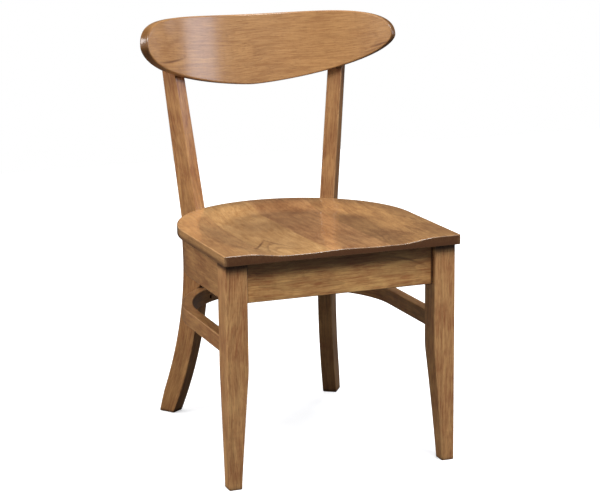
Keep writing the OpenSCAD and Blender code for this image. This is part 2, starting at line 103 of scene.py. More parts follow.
def linear(hex_colour: str) -> tuple[float, float, float, float]:
    """Turns an sRGB hex colour into linear RGBA.

    Args:
        hex_colour: such as "#b08355".
    Returns:
        The linear colour with alpha 1.
    """
    v = np.array([int(hex_colour[i:i + 2], 16) / 255.0 for i in (1, 3, 5)])
    v = np.where(v <= 0.04045, v / 12.92, ((v + 0.055) / 1.055) ** 2.4)
    return float(v[0]), float(v[1]), float(v[2]), 1.0


def rounded_ring(x0: Any, x1: Any, y0: Any, y1: Any, r: Any, arc: int, flat: int) -> Array:
    """Rings of rounded rectangles, one for each entry of the arrays, anticlockwise.

    Each corner is a quarter circle of radius r about a centre r inside both sides; straight flats join
    them.

    Args:
        x0: lower x of each rectangle.
        x1: upper x.
        y0: lower y.
        y1: upper y.
        r: corner radius.
        arc: points on a corner.
        flat: points inside a flat.
    Returns:
        Array of shape (rings, points, 2).
    """
    x0, x1, y0, y1, r = (np.atleast_1d(a).astype(float) for a in np.broadcast_arrays(x0, x1, y0, y1, r))
    corners = ((x1 - r, y1 - r), (x0 + r, y1 - r), (x0 + r, y0 + r), (x1 - r, y0 + r))
    centres = [np.stack(corner, -1)[:, None] for corner in corners]
    reach = r[:, None, None]
    t = np.linspace(0.0, 1.0, flat)[:, None]
    t[0], t[-1] = NEAR_END, 1.0 - NEAR_END
    pieces: list[Array] = []
    for k, centre in enumerate(centres):
        a = np.radians(90.0 * k) + quarter(arc)
        way = np.stack([np.cos(a), np.sin(a)], -1)
        bend = centre + reach * way
        pieces += [bend, mix(bend[:, -1:], centres[(k + 1) % 4] + reach * way[-1], t)]
    return np.concatenate(pieces, 1)


def add_object(name: str, data: bpy.types.ID) -> bpy.types.Object:
    """Adds an object to the scene.

    Args:
        name: its name.
        data: its mesh, lamp or camera.
    Returns:
        The object.
    """
    obj = bpy.data.objects.new(name, data)
    bpy.context.scene.collection.objects.link(obj)
    return obj


@dataclass
class Skin:
    """A closed surface: rows of points, each row a closed ring, with its first and last rows closed.

    points: (rows, points, 3) in millimetres.
    grain: the same points in the wood's own measure, across, through and along the grain.
    along: unit vectors along the grain, in a shape that spreads over the points.
    fans: closes each end row to its mean point; without it, the end rows must fold shut on themselves.
    """

    points: Array
    grain: Array
    along: Array
    fans: bool = True

    def build(self, name: str) -> bpy.types.Object:
        """Puts the surface into a mesh object on the root body.

        Quads join neighbouring rows, and coincident points are merged. The grain goes into the attribute
        "grain", in metres.

        Args:
            name: the object's name.
        Returns:
            The new object.
        """
        rows, n = self.points.shape[:2]
        along = np.broadcast_to(self.along, self.points.shape)
        verts, grain, run = (
            np.concatenate([a.reshape(-1, 3), a[0].mean(0)[None], a[-1].mean(0)[None]])
            for a in (self.points * MM, self.grain * MM, along))
        i = np.arange(n)
        j = (i + 1) % n
        k = (np.arange(rows - 1) * n)[:, None]
        faces = np.stack([k + i, k + j, k + n + j, k + n + i], -1).reshape(-1, 4).tolist()
        if self.fans:
            top = (rows - 1) * n
            faces += np.stack([np.full(n, rows * n), j, i], -1).tolist()
            faces += np.stack([np.full(n, rows * n + 1), top + i, top + j], -1).tolist()
        mesh = bpy.data.meshes.new(name)
        mesh.from_pydata(verts, [], faces)
        for key, data in (("grain", grain), ("run", run)):
            layer = mesh.attributes.new(key, "FLOAT_VECTOR", "POINT").data
            layer.foreach_set("vector", data.astype("f").ravel())
        self._merge(mesh)
        self._mark_faces(mesh)
        mesh.shade_smooth()
        mesh.set_sharp_from_angle(angle=np.radians(SHARP_TURN))
        obj = add_object(name, mesh)
        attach(obj, "root")
        return obj

    @staticmethod
    def _mark_faces(mesh: bpy.types.Mesh) -> None:
        """Adds "end" and "edge", worked out from the faces round each point, and drops the grain's direction.

        "end" is the largest part that a neighbouring face's normal has along the grain: 1 is end grain.
        "edge" grows with the largest turn from the point's normal to a neighbouring face's, so it is 1 on
        a rounded arris and 0 on a flat; sharp edges don't count. It drives a paler arris, partly wear and
        partly a painted highlight, and fades on arrises that face down.

        Args:
            mesh: the mesh, with the grain's direction in its attribute "run".
        """
        normal = np.empty(len(mesh.vertices) * 3, "f")
        way, face = np.empty_like(normal), np.empty(len(mesh.polygons) * 3, "f")
        corner, sides = np.empty(len(mesh.loops), "i"), np.empty(len(mesh.polygons), "i")
        mesh.vertices.foreach_get("normal", normal)
        mesh.attributes["run"].data.foreach_get("vector", way)
        mesh.polygons.foreach_get("normal", face)
        mesh.polygons.foreach_get("loop_total", sides)
        mesh.loops.foreach_get("vertex_index", corner)
        normal, way = normal.reshape(-1, 3), way.reshape(-1, 3)
        face = np.repeat(face.reshape(-1, 3), sides, axis=0)
        end, edge = np.zeros(len(normal), "f"), np.zeros(len(normal), "f")
        np.maximum.at(end, corner, np.abs((face * way[corner]).sum(1)).astype("f"))
        turn = np.degrees(np.arccos(np.clip((face * normal[corner]).sum(1), -1, 1)))
        rub_and_sheen = np.where(turn < SHARP_TURN, np.clip((turn - RUB_SHEEN_FROM) / RUB_SHEEN_RANGE, 0, 1), 0)
        np.maximum.at(edge, corner, rub_and_sheen.astype("f"))
        # The paler arris, partly wear and partly painted highlight, fades on arrises that face down
        edge *= np.clip(RUB_SHEEN_UPRIGHT + normal[:, 2], 0, 1)
        for name, values in (("end", end), ("edge", edge)):
            mesh.attributes.new(name, "FLOAT", "POINT").data.foreach_set("value", values)
        mesh.attributes.remove(mesh.attributes["run"])

    @staticmethod
    def _merge(mesh: bpy.types.Mesh) -> None:
        """Drops loose points, merges coincident ones and turns the faces outward.

        Args:
            mesh: the mesh that is changed.
        """
        bm = bmesh.new()
        bm.from_mesh(mesh)
        bmesh.ops.delete(bm, geom=[v for v in bm.verts if not v.link_faces], context="VERTS")
        bmesh.ops.remove_doubles(bm, verts=bm.verts, dist=TOUCHING)
        bmesh.ops.dissolve_degenerate(bm, edges=bm.edges, dist=NO_LENGTH)
        bmesh.ops.recalc_face_normals(bm, faces=bm.faces)
        bm.to_mesh(mesh)
        bm.free()


@dataclass(frozen=True)
class Bore:
    """A flat-bottomed hole: its bottom's centre, the way out of it, depth and diameter, in millimetres."""

    bottom: Triple
    way_out: Triple
    deep: float
    across: float = 8.2


def drill(obj: bpy.types.Object, bores: Sequence[Bore]) -> None:
    """Cuts holes into a finished piece and keeps its attributes.

    Args:
        obj: the piece.
        bores: the holes.
    """
    mesh = bpy.data.meshes.new("drill")
    bm = bmesh.new()
    for bore in bores:
        out = Vector(bore.way_out).normalized()
        middle = Vector(bore.bottom) + out * (bore.deep / 2)
        place = Matrix.Translation(middle * MM) @ out.to_track_quat("Z", "Y").to_matrix().to_4x4()
        radius = bore.across / 2 * MM
        bmesh.ops.create_cone(bm, cap_ends=True, segments=BORE_SIDES, radius1=radius, radius2=radius,
                              depth=bore.deep * MM, matrix=place)
    bm.to_mesh(mesh)
    bm.free()
    tool = add_object("drill", mesh)
    cut = obj.modifiers.new("drill", "BOOLEAN")
    cut.operation, cut.solver, cut.object = "DIFFERENCE", "EXACT", tool
    bpy.context.view_layer.update()
    bored = bpy.data.meshes.new_from_object(obj.evaluated_get(bpy.context.evaluated_depsgraph_get()))
    obj.modifiers.remove(cut)
    bpy.data.objects.remove(tool)
    bored.name = obj.name
    obj.data = bored
    bored.set_sharp_from_angle(angle=np.radians(SHARP_TURN))


# Finishes


class GrainRun(Enum):
    """Where a piece's grain coordinates come from."""

    ATTRIBUTE = "the mesh's own grain attribute"
    ALONG_Z = "object coordinates, grain along Z"


@dataclass(frozen=True)
class Mark:
    """A dark line or patch with soft edges, in millimetres of the grain's own measure; some patches are
    painted shade.

    It runs along the grain through its middle (across, along), leans by slope and bends by bow towards
    its ends.
    """

    across: float
    along: float
    half_length: float
    half_width: float
    strength: float
    slope: float = 0.0
    bow: float = 0.0


@dataclass(frozen=True)
class Cathedral:
    """Nested arches of growth lines, as on a flat-sawn board: the arches' tips point along the grain.

    Each line darkens over the shares of its turn in darkens. The figure fades in behind its tip over
    tip_fade of its length, and out again from foot_fade on.
    """

    across: float
    tip: float
    length: float
    half_width: float
    lines: float
    strength: float
    darkens: Pair = (0.45, 0.95)
    tip_fade: float = 0.12
    foot_fade: float = 0.6


@dataclass(frozen=True)
class Figure:
    """A noise pattern in the wood.

    cell is the size of one cell across, through and along the grain, in millimetres; detail and rough are
    the noise's own. Its values over span are stretched from 0 to 1, and without a span they stay as they
    are.
    """

    cell: Triple
    detail: float
    rough: float = 0.55
    span: Pair | None = (0.3, 0.7)


# Grain that wanders over some 200 mm; noise seldom leaves its middle half, so it goes 5 mm to either side
WANDER = Figure((90.0, 90.0, 200.0), 1.0, span=None)
WANDER_WIDTH = 20.0
# Blotches: maple takes stain unevenly, in soft patches of 50 mm and of 15 mm
CLOUD = Figure((48.0, 48.0, 90.0), 2.0, 0.5)
MOTTLE = Figure((13.0, 13.0, 34.0), 3.0, 0.6, (0.28, 0.72))
# Fibre: streaks 2.6 mm across and 50 mm long, coarser than maple's own so that a photograph shows them
FIBRE = Figure((2.6, 2.6, 50.0), 4.0, 0.65)
# Growth rings, about 11 mm wide on the face: each darkens slowly and ends at once
RING = Figure((44.0, 70.0, 480.0), 1.0, 0.4, None)
RING_COUNT = 8.0
RING_DARKENS, RING_ENDS = (0.35, 0.97), (1.0, 0.97)
# Curl: light ripples across the grain every 7 mm, in patches
RIPPLE = Figure((38.0, 38.0, 7.0), 2.0, 0.5, None)
PATCH = Figure((60.0, 60.0, 110.0), 1.0, 0.5, (0.4, 0.66))
# Pores and rays: short dark flecks 1.8 mm across and 12 mm long, and the pores in end grain
FLECK = Figure((1.8, 1.8, 12.0), 2.0, 0.55, (0.52, 0.74))
PORES = Figure((1.2, 6.0, 6.0), 2.0)
# How high the fibre stands, and how deep a fleck lies, as shares of the relief
FIBRE_RELIEF, FLECK_RELIEF = 0.7, -0.4
SMOOTH = {"interpolation_type": "SMOOTHSTEP"}


@dataclass(frozen=True)
class Wood:
    """Stained maple under satin lacquer: planed and sanded, so the grain is fine and low in contrast.

    light and dark are the stain's lightest and darkest tones; streak colours growth lines, marks and
    pores, worn_and_sheen is the paler wood on arrises, partly rubbed and partly a painted highlight, and
    end the stain that pools in end grain. shift moves the grain, in metres, so that pieces differ. growth,
    blotch and curl are the strengths of growth lines, blotches and ripples, and cloudy, mottled, fibrous
    and flecked the contrasts of those figures.
    under paints shade on a seat's rim: it darkens the rim towards its lower edge, over the heights in
    painted_rim_shade_span. Stain pools over the turns into the grain in pooling, less pore_share between
    pores. An arris pales, partly by wear and partly as a painted highlight, by the first of rub_and_sheen,
    and by up to the second more in patches. gloss_swing is how far the roughness varies with the fibre.
    """

    name: str
    light: str = "#d6a46b"
    dark: str = "#a06740"
    streak: str = "#6a4428"
    run: GrainRun = GrainRun.ATTRIBUTE
    shift: Triple = (0.0, 0.0, 0.0)
    growth: float = 0.22
    blotch: float = 1.0
    curl: float = 0.28
    worn_and_sheen: str = "#d8ae7d"
    end: str = "#4a2d19"
    under: float = 0.0
    roughness: float = 0.36
    coat: float = 0.75
    coat_roughness: float = 0.15
    marks: tuple[Mark, ...] = ()
    arches: tuple[Cathedral, ...] = ()
    cloudy: float = 0.36
    mottled: float = 0.4
    fibrous: float = 0.7
    flecked: float = 0.34
    painted_rim_shade_span: Pair = (443.0, 434.5)
    pooling: Pair = (0.15, 0.7)
    pore_share: float = 0.16
    rub_and_sheen: Pair = (0.1, 0.25)
    gloss_swing: float = 0.1


def node(tree: bpy.types.NodeTree, kind: str, *inputs: Any, named: dict[Any, Any] | None = None,
         out: int | str = 0, **settings: Any) -> Socket | None:
    """Adds a shader node.

    Args:
        tree: the node tree.
        kind: the node's type name, without "ShaderNode".
        inputs: for its first inputs in order, a value or an output socket that is linked to it.
        named: the same for other inputs, by name or number.
        out: the output that is wanted, by name or number.
        settings: attributes of the node.
    Returns:
        That output, or None where the node has no outputs.
    """
    made = tree.nodes.new("ShaderNode" + kind)
    for key, value in settings.items():
        setattr(made, key, value)
    for key, value in (dict(enumerate(inputs)) | (named or {})).items():
        if isinstance(value, Socket):
            tree.links.new(value, made.inputs[key])
        else:
            made.inputs[key].default_value = value
    return made.outputs[out] if made.outputs else None


def blank(new_block: Any) -> Any:
    """Empties the node tree of a new material or world.

    Args:
        new_block: the material or world.
    Returns:
        The same block.
    """
    new_block.use_nodes = True
    new_block.node_tree.nodes.clear()
    return new_block


class WoodMaterial:
    """Builds the material of one Wood finish."""

    def __init__(self, finish: Wood) -> None:
        """Keeps the finish and starts an empty material.

        Args:
            finish: the wood.
        """
        self.finish = finish
        self.material = blank(bpy.data.materials.new(finish.name))
        self.add = partial(node, self.material.node_tree)

    def figure(self, where: Socket, figure: Figure) -> Socket:
        """Lays a noise pattern over the grain.

        Args:
            where: grain coordinates in metres.
            figure: the pattern.
        Returns:
            Its value at each place.
        """
        scaled = self.add("Mapping", where, named={"Scale": tuple(1.0 / MM / size for size in figure.cell)})
        noise = self.add("TexNoise", scaled, named={
            "Scale": 1.0, "Detail": figure.detail, "Roughness": figure.rough})
        return noise if figure.span is None else self.add("MapRange", noise, *figure.span, **SMOOTH)

    def mark(self, where: Socket, m: Mark) -> Socket:
        """How strongly a mark shows, by its distance across the grain from a parabola along the grain.

        Args:
            where: grain coordinates in metres.
            m: the mark.
        Returns:
            0 away from the mark, up to its strength on its middle line.
        """
        add = self.add
        x, z = (add("SeparateXYZ", where, out=axis) for axis in "XZ")
        u = add("Math", z, 1.0 / (m.half_length * MM), -m.along / m.half_length, operation="MULTIPLY_ADD")
        u_squared = add("Math", u, u, operation="MULTIPLY")
        bend = add("Math", u_squared, m.bow * MM, m.across * MM, operation="MULTIPLY_ADD")
        middle = add("Math", u, m.slope * m.half_length * MM, bend, operation="MULTIPLY_ADD")
        off = add("Math", add("Math", x, middle, operation="SUBTRACT"), operation="ABSOLUTE")
        near = add("MapRange", off, m.half_width * MM, 0.0, 0.0, m.strength, **SMOOTH)
        within = add("Math", 1.0, u_squared, operation="SUBTRACT", use_clamp=True)
        return add("Math", near, within, operation="MULTIPLY")

    def arch(self, where: Socket, c: Cathedral) -> Socket:
        """How strongly nested arches show.

        The distance back from the tip less the square of the share of the half width is even along each
        arch; its fraction, times the number of lines, gives a dark line at the end of each turn.

        Args:
            where: grain coordinates in metres.
            c: the arches.
        Returns:
            0 between the lines and outside the figure, up to its strength on a line.
        """
        add = self.add
        x, z = (add("SeparateXYZ", where, out=axis) for axis in "XZ")
        u = add("Math", x, 1.0 / (c.half_width * MM), -c.across / c.half_width, operation="MULTIPLY_ADD")
        back = add("Math", z, -1.0 / (c.length * MM), c.tip / c.length, operation="MULTIPLY_ADD")
        depth = add("Math", back, add("Math", u, u, operation="MULTIPLY"), operation="SUBTRACT")
        turn = add("Math", add("Math", depth, c.lines, operation="MULTIPLY"), operation="FRACT")
        line = add("MapRange", turn, *c.darkens, 0.0, c.strength, **SMOOTH)
        begun = add("MapRange", depth, 0.0, c.tip_fade, **SMOOTH)
        left = add("MapRange", back, 1.0, c.foot_fade, **SMOOTH)
        inside = add("Math", begun, left, operation="MULTIPLY")
        return add("Math", line, inside, operation="MULTIPLY")

    def stains(self, where: Socket, mottle: Socket) -> list[tuple[Any, Any, str]]:
        """Layers over the bare figure of a piece with a skin: stained end grain and paler arrises,
        partly rubbed and partly a painted highlight.

        Args:
            where: grain coordinates in metres.
            mottle: the patches in which arrises are rubbed.
        Returns:
            Each layer's colour, its amount and how it is laid on.
        """
        f, add = self.finish, self.add
        end, edge = (add("Attribute", attribute_name=key, out="Fac") for key in ("end", "edge"))
        pooled = add("MapRange", end, *f.pooling, **SMOOTH)
        speckle = add("Math", self.figure(where, PORES), f.pore_share, 1.0 - f.pore_share,
                      operation="MULTIPLY_ADD")
        least, more = f.rub_and_sheen
        uneven = add("Math", mottle, more, least, operation="MULTIPLY_ADD")
        # The pale arris layer is partly wear and partly a painted highlight
        return [(linear(f.end), add("Math", pooled, speckle, operation="MULTIPLY"), "MIX"),
                (linear(f.worn_and_sheen), add("Math", edge, uneven, operation="MULTIPLY"), "MIX")]

    def build(self) -> bpy.types.Material:
        """Builds the node tree: the grain's figures, the colours laid over one another, gloss and relief.

        Returns:
            The finished material.
        """
        f, add = self.finish, self.add
        skinned = f.run is GrainRun.ATTRIBUTE
        place = (add("Attribute", attribute_name="grain", out="Vector") if skinned
                 else add("TexCoord", out="Object"))
        moved = add("Mapping", place, f.shift)
        width = WANDER_WIDTH * MM
        sway = add("Math", self.figure(moved, WANDER), width, -width / 2, operation="MULTIPLY_ADD")
        where = add("VectorMath", moved, add("CombineXYZ", sway, sway), operation="ADD")
        cloud, mottle, fibre, ripple, patch, fleck, ring = (
            self.figure(where, figure) for figure in (CLOUD, MOTTLE, FIBRE, RIPPLE, PATCH, FLECK, RING))
        # The tone: each figure swings it evenly to both sides of the middle
        swings = ((cloud, f.cloudy * f.blotch), (mottle, f.mottled * f.blotch), (fibre, f.fibrous))
        tone: Any = 0.5 - sum(swing for _, swing in swings) / 2
        for figure, swing in swings:
            tone = add("Math", figure, swing, tone, operation="MULTIPLY_ADD")
        turn = add("Math", add("Math", ring, RING_COUNT, operation="MULTIPLY"), operation="FRACT")
        late = add("Math", add("MapRange", turn, *RING_DARKENS, 0.0, f.growth, **SMOOTH),
                   add("MapRange", turn, *RING_ENDS, **SMOOTH), operation="MULTIPLY")
        swell = add("Math", add("Math", ripple, 0.5, operation="SUBTRACT"), patch, operation="MULTIPLY")
        level = add("Math", swell, f.curl, 1.0, operation="MULTIPLY_ADD")
        streak = linear(f.streak)
        layers: list[tuple[Any, Any, str]] = [
            (linear(f.light), tone, "MIX"),
            (streak, late, "MIX"),
            (streak, add("Math", fleck, f.flecked, operation="MULTIPLY"), "MIX"),
            (level, 1.0, "MULTIPLY")]
        # Painted shade: the seat's rim darkens towards its lower edge, in the end-grain colour
        if f.under:
            start, stop = (height * MM for height in f.painted_rim_shade_span)
            low = add("MapRange", add("SeparateXYZ", place, out="Y"), start, stop, 0.0, f.under, **SMOOTH)
            layers.append((linear(f.end), low, "MIX"))
        # Marks: dark lines of the figure, and broad patches, some of them painted shade
        layers += [(streak, self.mark(place, mark), "MIX") for mark in f.marks]
        layers += [(streak, self.arch(place, arches), "MIX") for arches in f.arches]
        if skinned:
            layers += self.stains(where, mottle)
        colour: Any = linear(f.dark)
        for over, amount, blend in layers:
            colour = add("Mix", named={0: amount, 6: colour, 7: over}, out=2, data_type="RGBA",
                         blend_type=blend)
        gloss = add("Math", fibre, f.gloss_swing, f.roughness - f.gloss_swing / 2, operation="MULTIPLY_ADD")
        sunk = add("Math", fleck, FLECK_RELIEF, operation="MULTIPLY")
        relief = add("Math", fibre, FIBRE_RELIEF, sunk, operation="MULTIPLY_ADD")
        bump = add("Bump", named={"Strength": 0.14, "Distance": 0.0004, "Height": relief})
        add("OutputMaterial", add("BsdfPrincipled", named={
            "Base Color": colour, "Roughness": gloss, "Normal": bump, "IOR": 1.5,
            "Coat Weight": f.coat, "Coat Roughness": f.coat_roughness, "Coat IOR": 1.5}))
        return self.material


@dataclass(frozen=True)
class ZincSteel:
    """Zinc-plated screw steel: pale grey metal, dulled by its plating, whose gloss varies in 4 mm clouds."""

    name: str = "zinc_steel"
    colour: str = "#a9aaa8"
    roughness: float = 0.38
    swing: float = 0.1
    cloud: float = 4.0

    def build(self) -> bpy.types.Material:
        """Builds the material.

        Returns:
            The finished material.
        """
        material = blank(bpy.data.materials.new(self.name))
        add = partial(node, material.node_tree)
        place = add("TexCoord", out="Object")
        cloud = add("TexNoise", place, named={"Scale": 1.0 / (self.cloud * MM), "Detail": 2.0})
        rough = add("MapRange", cloud, named={
            "To Min": self.roughness - self.swing, "To Max": self.roughness + self.swing})
        add("OutputMaterial", add("BsdfPrincipled", named={
            "Base Color": linear(self.colour), "Metallic": 1.0, "Roughness": rough}))
        return material


def make_piece(skin: Skin, name: str, finish: Wood, bores: Sequence[Bore] = ()) -> None:
    """Makes a wooden piece that stands for the CAD node of its name.

    Args:
        skin: its surface.
        name: the CAD node's name.
        finish: its wood.
        bores: the holes in it.
    """
    obj = skin.build(f"{name}_surface")
    if bores:
        drill(obj, bores)
    obj.data.materials.append(WoodMaterial(finish).build())
    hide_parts(name)
    LOG.info("%s: %d faces", name, len(obj.data.polygons))


# The chair's shared sizes


@dataclass(frozen=True)
class Plan:
    """Sizes that several sub-assemblies share, in millimetres and degrees, as the CAD has them."""

    seat_top: float = 451.0
    seat_thick: float = 19.0
    seat_back_r: float = 238.0
    seat_let_in: float = 1.2
    front_y: float = -264.0
    front_leg_w: float = 43.0
    front_leg_d: float = 46.0
    apron_set_back: float = 9.8
    apron_thick: float = 20.0
    leg_half: float = 231.0
    hoop_y: float = -16.0
    hoop_r: float = 222.0
    hoop_thick: float = 20.0
    hoop_let_in: float = 1.6
    bow_r: float = 226.0
    bow_thick: float = 22.0
    bow_let_in: float = 1.2
    bow_low: float = 255.0
    bow_high: float = 31.0
    bow_screw_drop: float = 4.0
    apron_high: float = 78.0
    rail_ease: float = 2.0
    screw_bed: float = 14.0
    bore_past: float = 0.3
    leg_turn: float = 35.5
    leg_stray: float = 8.5
    leg_lean: float = 0.039
    foot_sweep: float = 89.0
    foot_curl: float = 1.86
    post_rake: float = 0.135
    post_top: float = 815.0
    crest_mid: float = 771.0
    crest_r: float = 327.0
    crest_thick: float = 17.5
    crest_lean: float = 9.5
    crest_let_in: float = 1.2

    @property
    def frame_top(self) -> float:
        """Height of the seat's underside."""
        return self.seat_top - self.seat_thick

    @property
    def frame_low(self) -> float:
        """Height of the aprons' lower edges."""
        return self.frame_top - self.apron_high

    @property
    def hoop_mid(self) -> float:
        """Height of the hoop's middle."""
        return self.frame_low + self.apron_high / 2.0

    @property
    def leg_out(self) -> Array:
        """Unit vector through the left rear leg's depth, towards its back."""
        a = np.radians(self.leg_turn)
        return np.array([-np.sin(a), np.cos(a)])

    @property
    def leg_side(self) -> Array:
        """Unit vector along the left rear leg's front face."""
        return np.array([self.leg_out[1], -self.leg_out[0]])

    @property
    def leg_ref(self) -> Array:
        """Middle of the left rear leg's front face at the hoop."""
        bearing = (self.hoop_r - self.hoop_let_in) * self.leg_out
        return np.array([0.0, self.hoop_y]) + bearing - self.leg_stray * self.leg_side

    def at_rear_leg(self, along: Any, deep: Any) -> Array:
        """Places seen from above, given along and behind the left rear leg's front face."""
        along, deep = np.asarray(along)[..., None], np.asarray(deep)[..., None]
        return self.leg_ref + along * self.leg_side + deep * self.leg_out

    def leg_bore(self, z: float, bed: float, way: int, deep: float, side: Side) -> Bore:
        """Counterbore on a rear leg's middle line, square to its front, a little past the screw's bed.

        Args:
            z: its height.
            bed: how far behind the leg's front face the screw's head beds.
            way: 1 where it opens behind, -1 where it opens ahead.
            deep: its depth.
            side: the leg's side.
        Returns:
            The hole.
        """
        x, y = self.at_rear_leg(self.lean_shift(z), bed - way * self.bore_past)
        out = way * self.leg_out
        return Bore((float(x) * -side, float(y), z), (float(out[0]) * -side, float(out[1]), 0.0), deep)

    def lean_shift(self, z: Any) -> Any:
        """Sideways place of a rear leg's middle: it moves inward by a fixed part of the height."""
        return self.leg_lean * (self.hoop_mid - z)

    def sweep_back(self, z: Any) -> Any:
        """How far a rear leg's front lies back: a power curve below the hoop, a straight rake above it."""
        low = self.foot_sweep * (np.clip(self.frame_low - z, 0.0, None) / self.frame_low) ** self.foot_curl
        return low + self.post_rake * np.clip(z - self.frame_top, 0.0, None)

    def bearing_centre(self, reach: float, behind: float) -> float:
        """Y of the centre of a round back whose rim bears on the rear legs' front plane."""
        return float((self.leg_ref @ self.leg_out + behind - reach) / self.leg_out[1])

    @property
    def seat_y(self) -> float:
        """Y of the centre of the seat's rounded back."""
        return self.bearing_centre(self.seat_back_r - self.seat_let_in, float(self.sweep_back(self.seat_top)))

    @property
    def bow_y(self) -> float:
        """Y of the centre of the bow's rounded back."""
        return self.bearing_centre(self.bow_r - self.bow_let_in, float(self.sweep_back(self.bow_low)))

    @property
    def crest_axis_y(self) -> float:
        """Y of the crest rail's axis at the height of the rail's middle, where its back meets the posts.

        Returns:
            That Y.
        """
        z = self.crest_mid
        x, y = self.at_rear_leg(self.lean_shift(z), self.sweep_back(z))
        reach = self.crest_r + self.crest_thick - self.crest_let_in
        return float(y - np.sqrt(reach ** 2 - x ** 2) / np.cos(np.radians(self.crest_lean)))

    def crest_to_chair(self, p: Array) -> Array:
        """Leans points of the crest rail's own frame back and moves them to their place.

        The rail's axis leans by crest_lean about X; its frame's zero height is moved along that axis so
        that the middle of the hollow front stands at crest_mid.

        Args:
            p: points in the rail's frame.
        Returns:
            The same points in the chair's frame.
        """
        a = np.radians(self.crest_lean)
        w = p[..., 2] + self.crest_r * np.tan(a)
        y = p[..., 1] * np.cos(a) + w * np.sin(a) + self.crest_axis_y
        z = -p[..., 1] * np.sin(a) + w * np.cos(a) + self.crest_mid
        return np.stack([p[..., 0], y, z], -1)

    def chair_to_crest(self, p: Array) -> Array:
        """Turns the chair's points into the crest rail's own frame, the inverse of crest_to_chair.

        Args:
            p: points in the chair's frame.
        Returns:
            The same points in the rail's frame.
        """
        a = np.radians(self.crest_lean)
        y, z = p[..., 1] - self.crest_axis_y, p[..., 2] - self.crest_mid
        w = y * np.sin(a) + z * np.cos(a) - self.crest_r * np.tan(a)
        return np.stack([p[..., 0], y * np.cos(a) - z * np.sin(a), w], -1)


# Sub-assemblies


